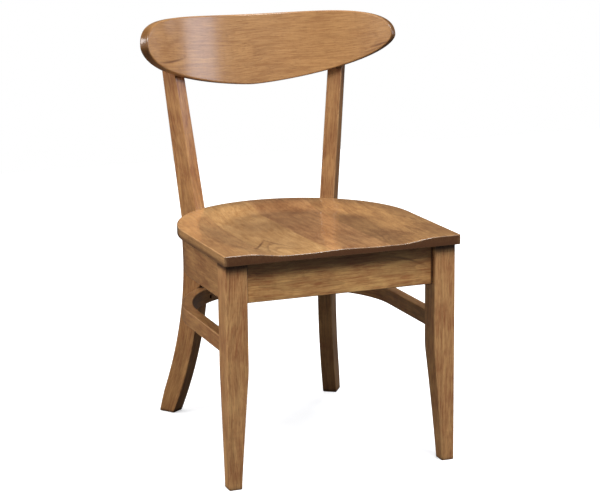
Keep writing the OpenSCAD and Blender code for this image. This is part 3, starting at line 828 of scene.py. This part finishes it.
@dataclass
class Seat:
    """Four glued boards, scooped on top, with a rounded back and an eased rim.

    rim_rings are the rings on the upright rim: two heights above the underside, and how far the last
    stands below the eased edge. under_shares and top_shares are how far the rings of the underside and
    the top are drawn in to the middle: the top's first, and the next to the last in even steps.
    """

    plan: Plan
    front_w: float = 472.0
    lip: float = 14.0
    corner_r: float = 4.0
    ease: float = 2.0
    under_ease: float = 0.8
    joints: tuple[float, ...] = (-146.0, -28.0, 92.0)
    scoop_front: float = 7.7
    scoop_deep: float = 11.0
    margin_front: float = 45.0
    margin_back: float = 22.0
    slope: float = 80.0
    scoop_run: float = 150.0
    pommel_front: float = 1.8
    pommel_high: float = 3.5
    pommel_half: float = 70.0
    pommel_run: float = 260.0
    rim_rings: Triple = (1.3, 6.0, 0.5)
    under_shares: Pair = (0.5, 0.01)
    top_shares: Triple = (0.004, 0.03, 0.985)
    under_ease_rings: int = 4
    ease_rings: int = 8
    front_steps: int = 26
    corner_steps: int = 7
    flank_steps: int = 34
    arc_steps: int = 44
    top_rings: int = 30

    def scoop(self, x: Array, y: Array) -> Array:
        """Depth of the seat's top below its rim.

        The depth is a cosine slope over the distance from the rim, less a low ridge along the middle that
        is highest some 80 mm behind the front edge.

        Args:
            x: places across the seat.
            y: places along it.
        Returns:
            The depth at each place.
        """
        p = self.plan
        front = p.front_y - self.lip
        half = mix(self.front_w / 2, p.seat_back_r, np.clip((y - front) / (p.seat_y - front), 0, 1))
        rim = np.where(y > p.seat_y, p.seat_back_r - np.hypot(x, y - p.seat_y), half - np.abs(x))
        run = ramp((y - front) / self.scoop_run)
        margin = mix(self.margin_front, self.margin_back, run)
        hollow = mix(self.scoop_front, self.scoop_deep, run) * ramp((rim - margin) / self.slope)
        ridge = mix(self.pommel_front, self.pommel_high, run) * (1 - ramp((y - front) / self.pommel_run))
        return hollow - ridge * (1 - ramp(np.abs(x) / self.pommel_half))

    def flank(self, inset: float, side: Side, joint: float | None) -> Array:
        """One long side of a board, from the front: a straight glue line, or the seat's own side.

        The seat's side is a rounded front corner and a straight line to the widest place.

        Args:
            inset: how far the rim is drawn in.
            side: which of the board's sides it is.
            joint: x of the glue line, or None for the seat's own side.
        Returns:
            Its points, (points, 2).
        """
        p = self.plan
        front, r, n = p.front_y - self.lip + inset, p.seat_back_r - inset, self.flank_steps
        if joint is not None:
            back = p.seat_y + np.sqrt(r ** 2 - joint ** 2)
            return np.stack([np.full(n, joint), mix(front, back, np.arange(n) / n)], -1)
        k = self.corner_steps
        half, c = self.front_w / 2 - inset, self.corner_r - inset
        a = quarter(k) - np.pi / 2
        corner = np.stack([half - c + c * np.cos(a), front + c + c * np.sin(a)], -1)
        t = np.arange(1, n - k + 1) / (n - k + 1)
        line = np.stack([mix(half, r, t), mix(front + c, p.seat_y, t)], -1)
        return np.concatenate([corner, line]) * np.array([side, 1.0])

    def outline(self, number: int, inset: float) -> Array:
        """Ring of a board's outline: its front, its right side, its part of the round back and its left side.

        Args:
            number: the board, from 0 on the left.
            inset: how far the rim is drawn in.
        Returns:
            Its points, (points, 2).
        """
        p = self.plan
        first, last = number == 0, number == len(self.joints)
        r = p.seat_back_r - inset
        left = self.flank(inset, Side.LEFT, None if first else self.joints[number - 1])
        right = self.flank(inset, Side.RIGHT, None if last else self.joints[number])
        start = 0.0 if last else np.arccos(self.joints[number] / r)
        stop = np.pi if first else np.arccos(self.joints[number - 1] / r)
        a = np.linspace(start, stop, self.arc_steps)
        arc = np.stack([r * np.cos(a), p.seat_y + r * np.sin(a)], -1)
        t = (np.arange(1, self.front_steps) / self.front_steps)[:, None]
        return np.concatenate([mix(left[0], right[0], t), right, arc, left[::-1]])

    def on_top(self, place: Array, drop: float = 0.0) -> Array:
        """Lifts places on to the scooped top, or a drop below it."""
        return np.column_stack([place, self.plan.seat_top - self.scoop(place[:, 0], place[:, 1]) - drop])

    @staticmethod
    def at_height(place: Array, height: Any) -> Array:
        """Lifts places to one height, or to a height each."""
        return np.column_stack([place, np.broadcast_to(height, (len(place),))])

    def board(self, number: int) -> Skin:
        """A board's skin: underside, rim with its eased edges, and the scooped top drawn in to its middle.

        Args:
            number: the board, from 0 on the left.
        Returns:
            The skin, with the grain along Y.
        """
        base, under_ease, ease = self.plan.frame_top, self.under_ease, self.ease
        rim, inner = self.outline(number, 0.0), self.outline(number, ease)
        under = self.outline(number, under_ease)
        middle = (rim.max(0) + rim.min(0)) / 2
        rows = [self.at_height(mix(under, middle, share), base) for share in self.under_shares]
        rows += [self.at_height(self.outline(number, under_ease * (1 - np.sin(a))),
                                base + under_ease * (1 - np.cos(a)))
                 for a in quarter(self.under_ease_rings)]
        low, mid, below = self.rim_rings
        upper = self.on_top(rim, ease)[:, 2]
        rows += [self.at_height(rim, height) for height in (base + low, base + mid, upper - below)]
        rows += [self.on_top(self.outline(number, ease * (1 - np.cos(a))), ease * (1 - np.sin(a)))
                 for a in quarter(self.ease_rings)]
        first, near, far = self.top_shares
        shares = np.concatenate([[first], np.linspace(near, far, self.top_rings)])
        rows += [self.on_top(mix(inner, middle, share)) for share in shares]
        points = np.stack(rows)
        return Skin(points, points[..., [0, 2, 1]], np.array([0.0, 1.0, 0.0]))

    def build(self, finishes: Sequence[Wood]) -> None:
        """Makes the boards, each with its own finish."""
        for number, finish in enumerate(finishes):
            make_piece(self.board(number), f"seat_board_{number + 1}", finish)


@dataclass
class CrestRail:
    """A bent board with a kidney-shaped outline, hollow side forward, leaning back with the posts.

    face_shares are how far a face's rings are drawn in to the spine: from the first to the second in even
    steps, and then the third.
    """

    plan: Plan
    half: float = 298.0
    rise: float = 62.3
    belly: float = 81.2
    widest: float = 2.3
    ease: float = 3.0
    upper_powers: Pair = (3.92, 2.34)
    lower_powers: Pair = (1.43, 1.84)
    spine_share: float = 0.9
    outline_steps: int = 230
    face_shares: Triple = (1.0, 0.04, 0.008)
    face_rings: int = 22
    ease_rings: int = 7

    def edges(self, s: Array) -> tuple[Array, Array]:
        """Heights of the upper and lower edge at a distance round the hollow front.

        Both are power curves of the share of the half length, the upper one squarer than the lower.

        Args:
            s: distances from the middle.
        Returns:
            The upper and the lower heights.
        """
        u = np.clip(np.abs(s) / self.half, 0, 1)
        (up_in, up_out), (low_in, low_out) = self.upper_powers, self.lower_powers
        up = self.widest + self.rise * (1 - u ** up_in) ** (1 / up_out)
        down = self.widest - self.belly * (1 - u ** low_in) ** (1 / low_out)
        return up, down

    def skin(self) -> Skin:
        """The rail's skin: its outline drawn in over both faces and rounded over the edge between them.

        The outline's points stand in pairs, one above the other, so that the innermost rows of both faces
        fold shut along a spine. A point at distance s round the front, height v and radius r lies at
        (r sin(s/R), r cos(s/R), v), R being the hollow front's radius. The back's rows are the front's,
        reversed.

        Returns:
            The skin, with the grain round the bend.
        """
        p = self.plan
        s = self.half * np.cos(np.linspace(0, np.pi, self.outline_steps))
        up, down = self.edges(s)
        ring = np.concatenate([np.stack([s, up], -1), np.stack([s, down], -1)[-2:0:-1]])
        tangent = np.roll(ring, -1, 0) - np.roll(ring, 1, 0)
        inward = np.stack([-tangent[:, 1], tangent[:, 0]], -1) / np.linalg.norm(tangent, axis=1)[:, None]
        edge = ring + self.ease * inward
        spine_s = ring[:, 0] * self.spine_share
        spine = np.stack([spine_s, sum(self.edges(spine_s)) / 2], -1)
        far, near, last = self.face_shares
        shares = np.concatenate([np.linspace(far, near, self.face_rings), [last]])
        front = [(mix(edge, spine, share), 0.0) for share in shares]
        front += [(ring + self.ease * (1 - np.sin(a)) * inward, self.ease * (1 - np.cos(a)))
                  for a in quarter(self.ease_rings)]
        back = [(place, p.crest_thick - deep) for place, deep in reversed(front)]
        rows = front + [(ring, p.crest_thick / 2)] + back
        places = np.stack([place for place, _ in rows])
        deep = np.broadcast_to(np.array([deep for _, deep in rows])[:, None], places.shape[:2])
        radius, angle = p.crest_r + deep, places[..., 0] / p.crest_r
        own = np.stack([radius * np.sin(angle), radius * np.cos(angle), places[..., 1]], -1)
        way = np.stack([np.cos(angle), -np.sin(angle), np.zeros_like(angle)], -1)
        points = p.crest_to_chair(own)
        grain = np.stack([places[..., 1], deep, places[..., 0]], -1)
        return Skin(points, grain, p.crest_to_chair(own + way) - points, fans=False)

    def build(self, finish: Wood) -> None:
        """Makes the crest rail."""
        make_piece(self.skin(), "crest_rail", finish)


@dataclass
class LegPair:
    """A left and a right leg of one shape, on eased feet."""

    plan: Plan
    kind: str
    ease: float = 2.5
    foot_ease: float = 1.5
    corner_steps: int = 6
    flat_steps: int = 7

    def skin(self, side: Side) -> Skin:
        """The skin of one leg, which each kind of leg gives."""
        raise NotImplementedError

    def bores(self, side: Side) -> list[Bore]:
        """The holes in one leg: none, unless the kind of leg has them."""
        return []

    def build(self, finishes: dict[Side, Wood]) -> None:
        """Makes both legs.

        Args:
            finishes: each side's own finish.
        """
        for side, finish in finishes.items():
            name = f"{self.kind}_{side.name.lower()}"
            make_piece(self.skin(side), name, finish, self.bores(side))


@dataclass
class RearLegs(LegPair):
    """Two legs, each one piece from the foot to the crest rail, swept back below and raked above.

    nick is how far outside a housing's edge the next ring stands. The rings stand closest behind the
    crest rail, from crest_from up. shoulder is the height in the rail's own frame above which the post is
    cut to the rail. grain_shift moves the two legs' grain apart.
    """

    kind: str = "rear_leg"
    width: float = 30.5
    depth: float = 44.0
    foot_depth: float = 37.5
    top_depth: float = 29.5
    swell: float = 60.0
    crest_screws: Pair = (-18.0, 22.0)
    screw_sunk: float = 1.0
    nick: float = 0.1
    hoop_gap: float = 9.0
    crest_from: float = 703.0
    crest_gap: float = 3.0
    ring_counts: tuple[int, int, int] = (46, 22, 56)
    shoulder: float = -57.0
    cut_rounds: int = 4
    cut_gain: float = 1.02
    grain_shift: Pair = (40.0, 60.0)

    def depth_at(self, z: Any) -> Any:
        """Depth of the leg: a sine swell from the foot, even to the hoop, and a straight taper to the top.

        Args:
            z: heights.
        Returns:
            The depth at each height.
        """
        mid = self.plan.hoop_mid
        swell = np.sin(np.pi / 2 * np.clip(z / self.swell, 0, 1))
        high = mix(self.depth, self.top_depth, np.clip((z - mid) / (self.plan.post_top - mid), 0, 1))
        return np.where(z < mid, mix(self.foot_depth, self.depth, swell), high)

    def heights(self) -> Array:
        """Heights of the rings, doubled where the leg is housed for the bow and the seat.

        Returns:
            The heights from the foot up.
        """
        p = self.plan
        bow_top = p.bow_low + p.bow_high
        housings = [p.bow_low - self.nick, p.bow_low, bow_top, bow_top + self.nick,
                    p.frame_top - self.nick, p.frame_top, p.seat_top]
        ends = ((self.foot_ease, p.frame_low),
                (p.frame_low + self.hoop_gap, self.crest_from - self.crest_gap),
                (self.crest_from, p.post_top - self.foot_ease))
        even = [np.linspace(low, high, count) for (low, high), count in zip(ends, self.ring_counts)]
        return np.sort(np.concatenate(even + [housings]))

    def skin(self, side: Side) -> Skin:
        """A leg's skin: rounded rectangles in the leg's own frame, X along its front, Y through its depth.

        The first and the last ring are repeated, drawn in, to ease the foot and the top. Points ahead of
        the crest rail's back are moved along Y on to that back, where the rail is housed.

        Args:
            side: the leg's side.
        Returns:
            The skin, with the grain upright.
        """
        p, half = self.plan, self.width / 2
        z = self.heights()
        front = p.sweep_back(z)
        bow = (z >= p.bow_low) & (z <= p.bow_low + p.bow_high)
        seat = (z >= p.frame_top) & (z <= p.seat_top)
        bed = np.where(bow, p.sweep_back(p.bow_low), np.where(seat, p.sweep_back(p.seat_top), front))
        mid, shown, back = (np.pad(a, 1, "edge") for a in (
            p.lean_shift(z), np.maximum(front, bed), front + self.depth_at(z)))
        inset = np.pad(np.zeros(len(z)), 1, constant_values=self.foot_ease)
        rings = rounded_ring(mid - half + inset, mid + half - inset, shown + inset, back - inset, self.ease,
                             self.corner_steps, self.flat_steps)
        zz = np.concatenate([[0.0], z, [p.post_top]])[:, None]
        x, y, zz = np.broadcast_arrays(rings[..., 0], rings[..., 1], zz)
        y = self.housed(x, y, zz)
        flat = p.at_rear_leg(x, y)
        points = np.stack([flat[..., 0] * -side, flat[..., 1], zz], -1)
        over, through = (shift * side for shift in self.grain_shift)
        grain = np.stack([x - p.lean_shift(zz) + over, y - p.sweep_back(zz) + through, zz], -1)
        return Skin(points, grain, np.array([0.0, 0.0, 1.0]))

    def housed(self, x: Array, y: Array, z: Array) -> Array:
        """Moves points that lie ahead of the crest rail's back on to it, in steps along the leg's depth.

        Args:
            x: places along the leg's front face.
            y: places through its depth.
            z: heights.
        Returns:
            The new places through its depth.
        """
        p = self.plan
        for _ in range(self.cut_rounds):
            own = p.chair_to_crest(np.concatenate([p.at_rear_leg(x, y), z[..., None]], -1))
            gap = p.crest_r + p.crest_thick - np.hypot(own[..., 0], own[..., 1])
            y = y + np.where((own[..., 2] > self.shoulder) & (gap > 0), gap * self.cut_gain, 0.0)
        return y

    def bores(self, side: Side) -> list[Bore]:
        """Counterbores in a post's back, over the screws into the crest rail.

        Args:
            side: the leg's side.
        Returns:
            The holes.
        """
        heights = [self.plan.crest_mid + height for height in self.crest_screws]
        return [self.plan.leg_bore(z, self.plan.sweep_back(z) + self.depth_at(z) - self.screw_sunk, 1,
                                   2.0 * self.screw_sunk, side) for z in heights]


@dataclass
class FrontLegs(LegPair):
    """Two legs with upright outer and front faces; their inner and rear faces taper below the bow.

    first_ring is the second ring's height on the eased foot; the rings stand closest over fine, where the
    taper begins, and gaps are the steps down and up from there to the coarse ones. grain_shift moves the
    two legs' grain apart.
    """

    kind: str = "front_leg"
    foot_width: float = 25.5
    foot_depth: float = 28.5
    taper_top: float = 240.0
    blend: float = 0.12
    bow: float = 0.15
    first_ring: float = 0.4
    fine: Pair = (203.0, 245.0)
    gaps: Pair = (3.0, 15.0)
    ring_counts: tuple[int, int, int] = (26, 18, 10)
    grain_shift: float = 90.0

    def taper(self, z: Array) -> Array:
        """Share of the taper at a height: a parabola runs into a line, and the whole is slightly hollow.

        Args:
            z: heights.
        Returns:
            0 where the leg is full, 1 at the floor.
        """
        share = np.clip(1 - z / self.taper_top, 0, None)
        eased = np.where(share < self.blend, share ** 2 / (2 * self.blend), share - self.blend / 2)
        part = eased / (1 - self.blend / 2)
        return part * (1 + self.bow * (1 - part))

    def skin(self, side: Side) -> Skin:
        """A leg's skin: rounded rectangles from the floor up, drawn in by a quarter circle at the foot.

        Args:
            side: the leg's side.
        Returns:
            The skin, with the grain upright.
        """
        p = self.plan
        (low, high), (down, up) = self.fine, self.gaps
        ends = ((self.foot_ease, low - down), (low, high), (high + up, p.frame_top))
        even = [np.linspace(start, stop, count) for (start, stop), count in zip(ends, self.ring_counts)]
        z = np.concatenate([[0.0, self.first_ring]] + even)
        rest = self.foot_ease - np.minimum(z, self.foot_ease)
        inset = self.foot_ease - np.sqrt(self.foot_ease ** 2 - rest ** 2)
        share = self.taper(z)
        w = mix(p.front_leg_w, self.foot_width, share)
        d = mix(p.front_leg_d, self.foot_depth, share)
        rings = rounded_ring(-p.leg_half + inset, -p.leg_half + w - inset, p.front_y + inset,
                             p.front_y + d - inset, self.ease, self.corner_steps, self.flat_steps)
        x, y, zz = np.broadcast_arrays(rings[..., 0], rings[..., 1], z[:, None])
        points = np.stack([x * -side, y, zz], -1)
        grain = np.stack([x + self.grain_shift * side, y, zz], -1)
        return Skin(points, grain, np.array([0.0, 0.0, 1.0]))


@dataclass
class BentRail:
    """A bar bent to a half circle with straight arms to the front legs: the seat hoop or the bow.

    screws are the heights of the screws into each rear leg, whose front face lies leg_front back there.
    join is how far past the bend the arms' first rings stand.
    """

    plan: Plan
    name: str
    slot: str
    radius: float
    thick: float
    low: float
    high: float
    centre_y: float
    screws: tuple[float, ...]
    leg_front: float = 0.0
    join: float = 2.0
    bend_steps: int = 120
    arm_steps: int = 24
    corner_steps: int = 5
    flat_steps: int = 12

    def skin(self) -> Skin:
        """The bar's skin: a rounded rectangle carried along the left arm, the half circle and the right arm.

        A place d along the bar lies on an arm at x = radius, or at the angle d / radius on the half
        circle; the section's own width is measured in from the outer radius.

        Returns:
            The skin, with the grain along the bar.
        """
        p, r = self.plan, self.radius
        arm = self.centre_y - (p.front_y + p.front_leg_d)
        turn = np.linspace(0.0, np.pi, self.bend_steps)
        d = np.concatenate([np.linspace(-arm, -self.join, self.arm_steps), turn * r,
                            np.pi * r + np.linspace(self.join, arm, self.arm_steps)])
        a = np.clip(d / r, 0.0, np.pi)
        past = d - a * r
        ring = rounded_ring(0.0, self.thick, self.low, self.low + self.high, p.rail_ease,
                            self.corner_steps, self.flat_steps)[0]
        way = np.stack([-np.sin(a), np.cos(a)], -1)
        out = np.stack([np.cos(a), np.sin(a)], -1)
        reach = (r - ring[:, 0])[None, :, None]
        flat = out[:, None] * reach + (past[:, None] * way)[:, None] + np.array([0.0, self.centre_y])
        inward, zz, dd = np.broadcast_arrays(ring[:, 0], ring[:, 1], d[:, None])
        points = np.concatenate([flat, zz[..., None]], -1)
        grain = np.stack([zz, inward, dd - np.pi * r / 2], -1)
        return Skin(points, grain, np.column_stack([way, np.zeros(len(d))])[:, None])

    def build(self, finish: Wood) -> None:
        """Makes the bar and bores it for the screws into the rear legs.

        Args:
            finish: its wood.
        """
        p, bed = self.plan, self.leg_front - self.plan.screw_bed
        bores = [p.leg_bore(z, bed, -1, p.bow_thick, side) for z in self.screws for side in Side]
        make_piece(self.skin(), self.name, finish, bores)


@dataclass
class FrontApron:
    """A straight board between the front legs, set back from their front faces."""

    plan: Plan
    steps: int = 60
    corner_steps: int = 5
    flat_steps: int = 14

    def skin(self) -> Skin:
        """The apron's skin: a rounded rectangle in depth and height, carried along X from leg to leg.

        Returns:
            The skin, with the grain along X.
        """
        p = self.plan
        half = p.leg_half - p.front_leg_w
        front = p.front_y + p.apron_set_back
        ring = rounded_ring(front, front + p.apron_thick, p.frame_low, p.frame_top, p.rail_ease,
                            self.corner_steps, self.flat_steps)[0]
        x, y, z = np.broadcast_arrays(np.linspace(-half, half, self.steps)[:, None], ring[:, 0], ring[:, 1])
        return Skin(np.stack([x, y, z], -1), np.stack([z, y, x], -1), np.array([1.0, 0.0, 0.0]))

    def build(self, finish: Wood) -> None:
        """Makes the apron."""
        make_piece(self.skin(), "front_apron", finish)


@dataclass
class Framework:
    """The CAD pieces that stay as they are: blocks, dowels and screws."""

    nodes: dict[str, bpy.types.Object]

    def dress(self, names: Sequence[str], material: bpy.types.Material) -> None:
        """Gives CAD nodes a material in every slot they have.

        Args:
            names: the nodes.
            material: their material.
        """
        for name in names:
            slots = self.nodes[name].data.materials
            if not slots:
                slots.append(material)
            for index in range(len(slots)):
                slots[index] = material
            LOG.info("%s: %s", name, material.name)


@dataclass(frozen=True)
class Lamp:
    """A soft rectangular lamp at a place, aimed at a point, with its width and height, all in metres.

    gloss is whether lacquer mirrors it; a lamp that grazes the arrises would burn them out.
    """

    name: str
    at: Triple
    aim: Triple
    size: tuple[float, float]
    watts: float
    colour: str = "#ffffff"
    gloss: bool = True

    def build(self) -> None:
        """Adds the lamp."""
        data = bpy.data.lights.new(self.name, "AREA")
        data.shape = "RECTANGLE"
        data.size, data.size_y = self.size
        data.energy = self.watts
        data.color = linear(self.colour)[:3]
        obj = add_object(self.name, data)
        obj.location = self.at
        obj.visible_glossy = self.gloss
        obj.rotation_euler = (Vector(self.aim) - Vector(self.at)).to_track_quat("-Z", "Y").to_euler()


COOL = "#dfe9ff"
LAMPS = (
    Lamp("key_box", (0.6, -2.0, 3.1), (0.0, 0.0, 0.4), (1.5, 1.2), 102.0),
    Lamp("right_box", (2.455, -1.22, 1.35), (0.0, 0.0, 0.75), (1.3, 1.1), 20.0, COOL),
    Lamp("right_strip", (2.4, 0.15, 0.9), (-0.2, 0.2, 0.75), (0.45, 0.6), 1.4, COOL),
    Lamp("left_box", (-2.5, -0.2, 2.3), (0.0, 0.0, 0.4), (1.2, 1.2), 54.0),
    Lamp("low_left_box", (-2.7, -0.3, 0.45), (0.0, 0.0, 0.35), (1.2, 0.7), 15.0, gloss=False),
    Lamp("top_box", (0.2, 0.2, 3.0), (0.0, 0.0, 0.4), (1.4, 1.4), 30.0, gloss=False),
    Lamp("back_left_box", (-2.0, 2.3, 2.2), (0.0, 0.0, 0.5), (1.2, 1.2), 30.0, gloss=False),
    Lamp("back_right_box", (2.3, 2.2, 2.2), (0.0, 0.0, 0.5), (1.2, 1.2), 30.0, gloss=False),
)


@dataclass
class Studio:
    """Pale floor, soft lamps and the photograph's camera.

    Lengths are metres. floor_greys are the floor's grey to the camera, to light that it throws back and
    to gloss. The floor glows for the camera by the first of glow near the chair and by the second from
    further out, over the distances in glow_span. sky_levels light the chair, show in gloss and fill the
    backdrop.
    """

    camera_at: Triple = (-1.23898, -3.26579, 1.17491)
    azimuth: float = 21.0235
    elevation: float = 12.7470
    roll: float = -0.6605
    focal_px: float = 1797.32
    image_width: float = 600.0
    sensor_mm: float = 36.0
    floor_half: float = 3.2
    floor_greys: Triple = (0.8, 0.09, 0.03)
    glow_span: Pair = (0.7, 2.4)
    glow: Pair = (0.5, 0.85)
    sky_levels: Triple = (0.14, 0.04, 1.0)

    def camera(self) -> None:
        """Sets up the camera that the photograph was fitted with."""
        a, e, ro = (np.radians(v) for v in (self.azimuth, self.elevation, self.roll))
        ahead = np.array([np.sin(a) * np.cos(e), np.cos(a) * np.cos(e), -np.sin(e)])
        right = np.array([np.cos(a), -np.sin(a), 0.0])
        up = np.cross(right, ahead)
        right, up = np.cos(ro) * right + np.sin(ro) * up, -np.sin(ro) * right + np.cos(ro) * up
        data = bpy.data.cameras.new("camera")
        data.sensor_width = self.sensor_mm
        data.lens = self.focal_px / self.image_width * data.sensor_width
        obj = add_object("camera", data)
        turn = Matrix((right, up, -ahead)).transposed().to_4x4()
        obj.matrix_world = Matrix.Translation(self.camera_at) @ turn
        bpy.context.scene.camera = obj

    @staticmethod
    def by_ray(add: partial, other: Socket, gloss: Socket, camera: Socket) -> Socket:
        """Joins the shaders that the camera, gloss and all other light see into one."""
        unseen = add("MixShader", add("LightPath", out="Is Glossy Ray"), other, gloss)
        return add("MixShader", add("LightPath", out="Is Camera Ray"), unseen, camera)

    def floor(self) -> None:
        """Adds a pale matt floor, brightened for the camera only so that it meets the white backdrop."""
        mesh = bpy.data.meshes.new("floor")
        r = self.floor_half
        mesh.from_pydata([(-r, -r, 0), (r, -r, 0), (r, r, 0), (-r, r, 0)], [], [(0, 1, 2, 3)])
        obj = add_object("floor", mesh)
        material = blank(bpy.data.materials.new("pale_floor"))
        add = partial(node, material.node_tree)
        matt, dull, dark = (add("BsdfDiffuse", (grey, grey, grey, 1.0)) for grey in self.floor_greys)
        reach = add("VectorMath", add("TexCoord", out="Object"), operation="LENGTH", out="Value")
        fade = add("MapRange", reach, *self.glow_span, *self.glow, **SMOOTH)
        lit = add("AddShader", matt, add("Emission", (1.0, 1.0, 1.0, 1.0), fade))
        add("OutputMaterial", self.by_ray(add, dull, dark, lit))
        mesh.materials.append(material)

    def sky(self) -> None:
        """Sets a white backdrop for the camera, soft light all round, and dark surroundings for gloss."""
        world = blank(bpy.data.worlds.new("studio"))
        add = partial(node, world.node_tree)
        shaders = [add("Background", (1.0, 1.0, 1.0, 1.0), level) for level in self.sky_levels]
        add("OutputWorld", self.by_ray(add, *shaders))
        bpy.context.scene.world = world

    def build(self) -> None:
        """Sets up camera, lamps, floor and backdrop."""
        self.camera()
        self.floor()
        self.sky()
        for lamp in LAMPS:
            lamp.build()
        bpy.context.scene.view_settings.view_transform = "Standard"
        LOG.info("studio: camera, floor, backdrop and %d lamps", len(LAMPS))


# This chair's own finishes

# Painted shade in the seat's hollows, and a darker rear of the seat
HOLLOW_SHADE_AND_DARK_REAR = (
    Mark(-60.0, -12.0, 55.0, 100.0, 0.36),
    Mark(10.0, 18.0, 48.0, 60.0, 0.26),
    Mark(130.0, 0.0, 32.0, 45.0, 0.32),
    Mark(20.0, 140.0, 80.0, 120.0, 0.5),
)
# The knot's two dark lines on the left front of the seat
KNOT = (Mark(-130.0, -171.0, 48.0, 5.0, 0.85, 0.55), Mark(-101.0, -150.0, 30.0, 4.5, 0.7, -0.3))
# Seat boards: under=0.75 paints shade on the rim towards its lower edge
BOARD = partial(Wood, end="#593720", under=0.75, coat=1.0)
BOARDS = (
    BOARD("maple_board_1", "#c89862", "#9b6c42", shift=(0.31, 0.0, 0.12), growth=0.12,
          marks=(HOLLOW_SHADE_AND_DARK_REAR[0], HOLLOW_SHADE_AND_DARK_REAR[3]) + KNOT),
    BOARD("maple_board_2", "#d8a970", "#ae7e4a", shift=(0.77, 0.1, 0.45), growth=0.14, marks=HOLLOW_SHADE_AND_DARK_REAR + KNOT,
          arches=(Cathedral(-104.0, -128.0, 130.0, 40.0, 3.0, 0.4),)),
    BOARD("maple_board_3", "#c4925f", "#94633c", shift=(1.31, 0.2, 0.83), growth=0.24, marks=HOLLOW_SHADE_AND_DARK_REAR),
    BOARD("maple_board_4", "#b78a57", "#8a5f3a", shift=(1.93, 0.3, 1.27), growth=0.24, marks=HOLLOW_SHADE_AND_DARK_REAR[2:],
          arches=(Cathedral(122.0, -150.0, 120.0, 30.0, 4.0, 0.35),)),
)
# Dark lines at both ends of the crest rail, each with a fainter one beside it
CREST = Wood(
    "maple_crest", "#b98c59", "#966a42", growth=0.1, blotch=0.6, curl=0.24, worn_and_sheen="#a87a4c", end="#63401f",
    coat_roughness=0.2, marks=(
        Mark(-27.0, -208.0, 46.0, 3.6, 0.95, 0.095, 3.0), Mark(-16.0, 270.0, 24.0, 3.4, 0.9, 0.22),
        Mark(8.0, -226.0, 60.0, 5.0, 0.25, 0.1, 3.0), Mark(-24.0, 262.0, 30.0, 2.4, 0.6, 0.26)))
# The right leg's darker tones are painted shade: they tone down its post's front, which the lamps light
# brighter
REAR_LEGS = {
    Side.LEFT: Wood("maple_rear_leg_left", "#c1905a", "#8f5b37", shift=(0.2, 0.4, 0.3)),
    Side.RIGHT: Wood("maple_rear_leg_right", "#b08555", "#805334", shift=(0.5, 0.1, 0.9)),
}
FRONT_LEGS = {
    Side.LEFT: Wood("maple_front_leg_left", shift=(0.9, 0.3, 0.5)),
    Side.RIGHT: Wood("maple_front_leg_right", shift=(1.4, 0.2, 0.1)),
}
# A darker upper band, partly painted shade under the seat's overhang and partly the wood's dark figure,
# and the dark line on the apron's right
APRON = Wood(
    "maple_front_apron", "#dcac6c", "#a46a3f", shift=(0.35, 0.6, 0.2), growth=0.26, blotch=1.1,
    marks=(Mark(418.0, -30.0, 250.0, 24.0, 0.66), Mark(409.0, 130.0, 60.0, 4.0, 0.55, -0.3, -10.0)))
HOOP = Wood("maple_hoop", "#be8e5a", "#8f5d39", shift=(0.15, 0.25, 0.4))
BOW = Wood("maple_bow", "#c3925c", "#945f3a", shift=(0.65, 0.35, 0.7))
# Blocks and dowels: bare planed beech, whose grain is left to run upright
BEECH = Wood("planed_beech", "#d9bb90", "#c7a477", "#9c7448", run=GrainRun.ALONG_Z, growth=0.15, coat=0.0,
             roughness=0.62)
BEECH_NODES = ("corner_block_left", "corner_block_right", "back_block_left", "back_block_right",
               "front_apron_dowels", "seat_hoop_dowels", "bow_dowels")
STEEL_NODES = ("corner_block_screws", "back_block_screws", "seat_screws", "rear_leg_screws", "bow_screws",
               "crest_screws")


def main() -> None:
    """Builds the chair's surfaces and the studio, and reports each piece."""
    logging.basicConfig(level=logging.INFO, format="%(message)s")
    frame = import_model()
    plan = Plan()
    Seat(plan).build(BOARDS)
    CrestRail(plan).build(CREST)
    RearLegs(plan).build(REAR_LEGS)
    FrontLegs(plan).build(FRONT_LEGS)
    FrontApron(plan).build(APRON)
    spread = plan.apron_high / 4.0
    BentRail(plan, "seat_hoop", "apron_maple", plan.hoop_r, plan.hoop_thick, plan.frame_low, plan.apron_high,
             plan.hoop_y, (plan.hoop_mid - spread, plan.hoop_mid + spread)).build(HOOP)
    bow_screw = plan.bow_low + plan.bow_high / 2.0 - plan.bow_screw_drop
    BentRail(plan, "bow_stretcher", "bow_maple", plan.bow_r, plan.bow_thick, plan.bow_low, plan.bow_high,
             plan.bow_y, (bow_screw,), float(plan.sweep_back(plan.bow_low))).build(BOW)
    framework = Framework(frame["nodes"])
    framework.dress(BEECH_NODES, WoodMaterial(BEECH).build())
    framework.dress(STEEL_NODES, ZincSteel().build())
    Studio().build()


if __name__ == "__main__":
    main()
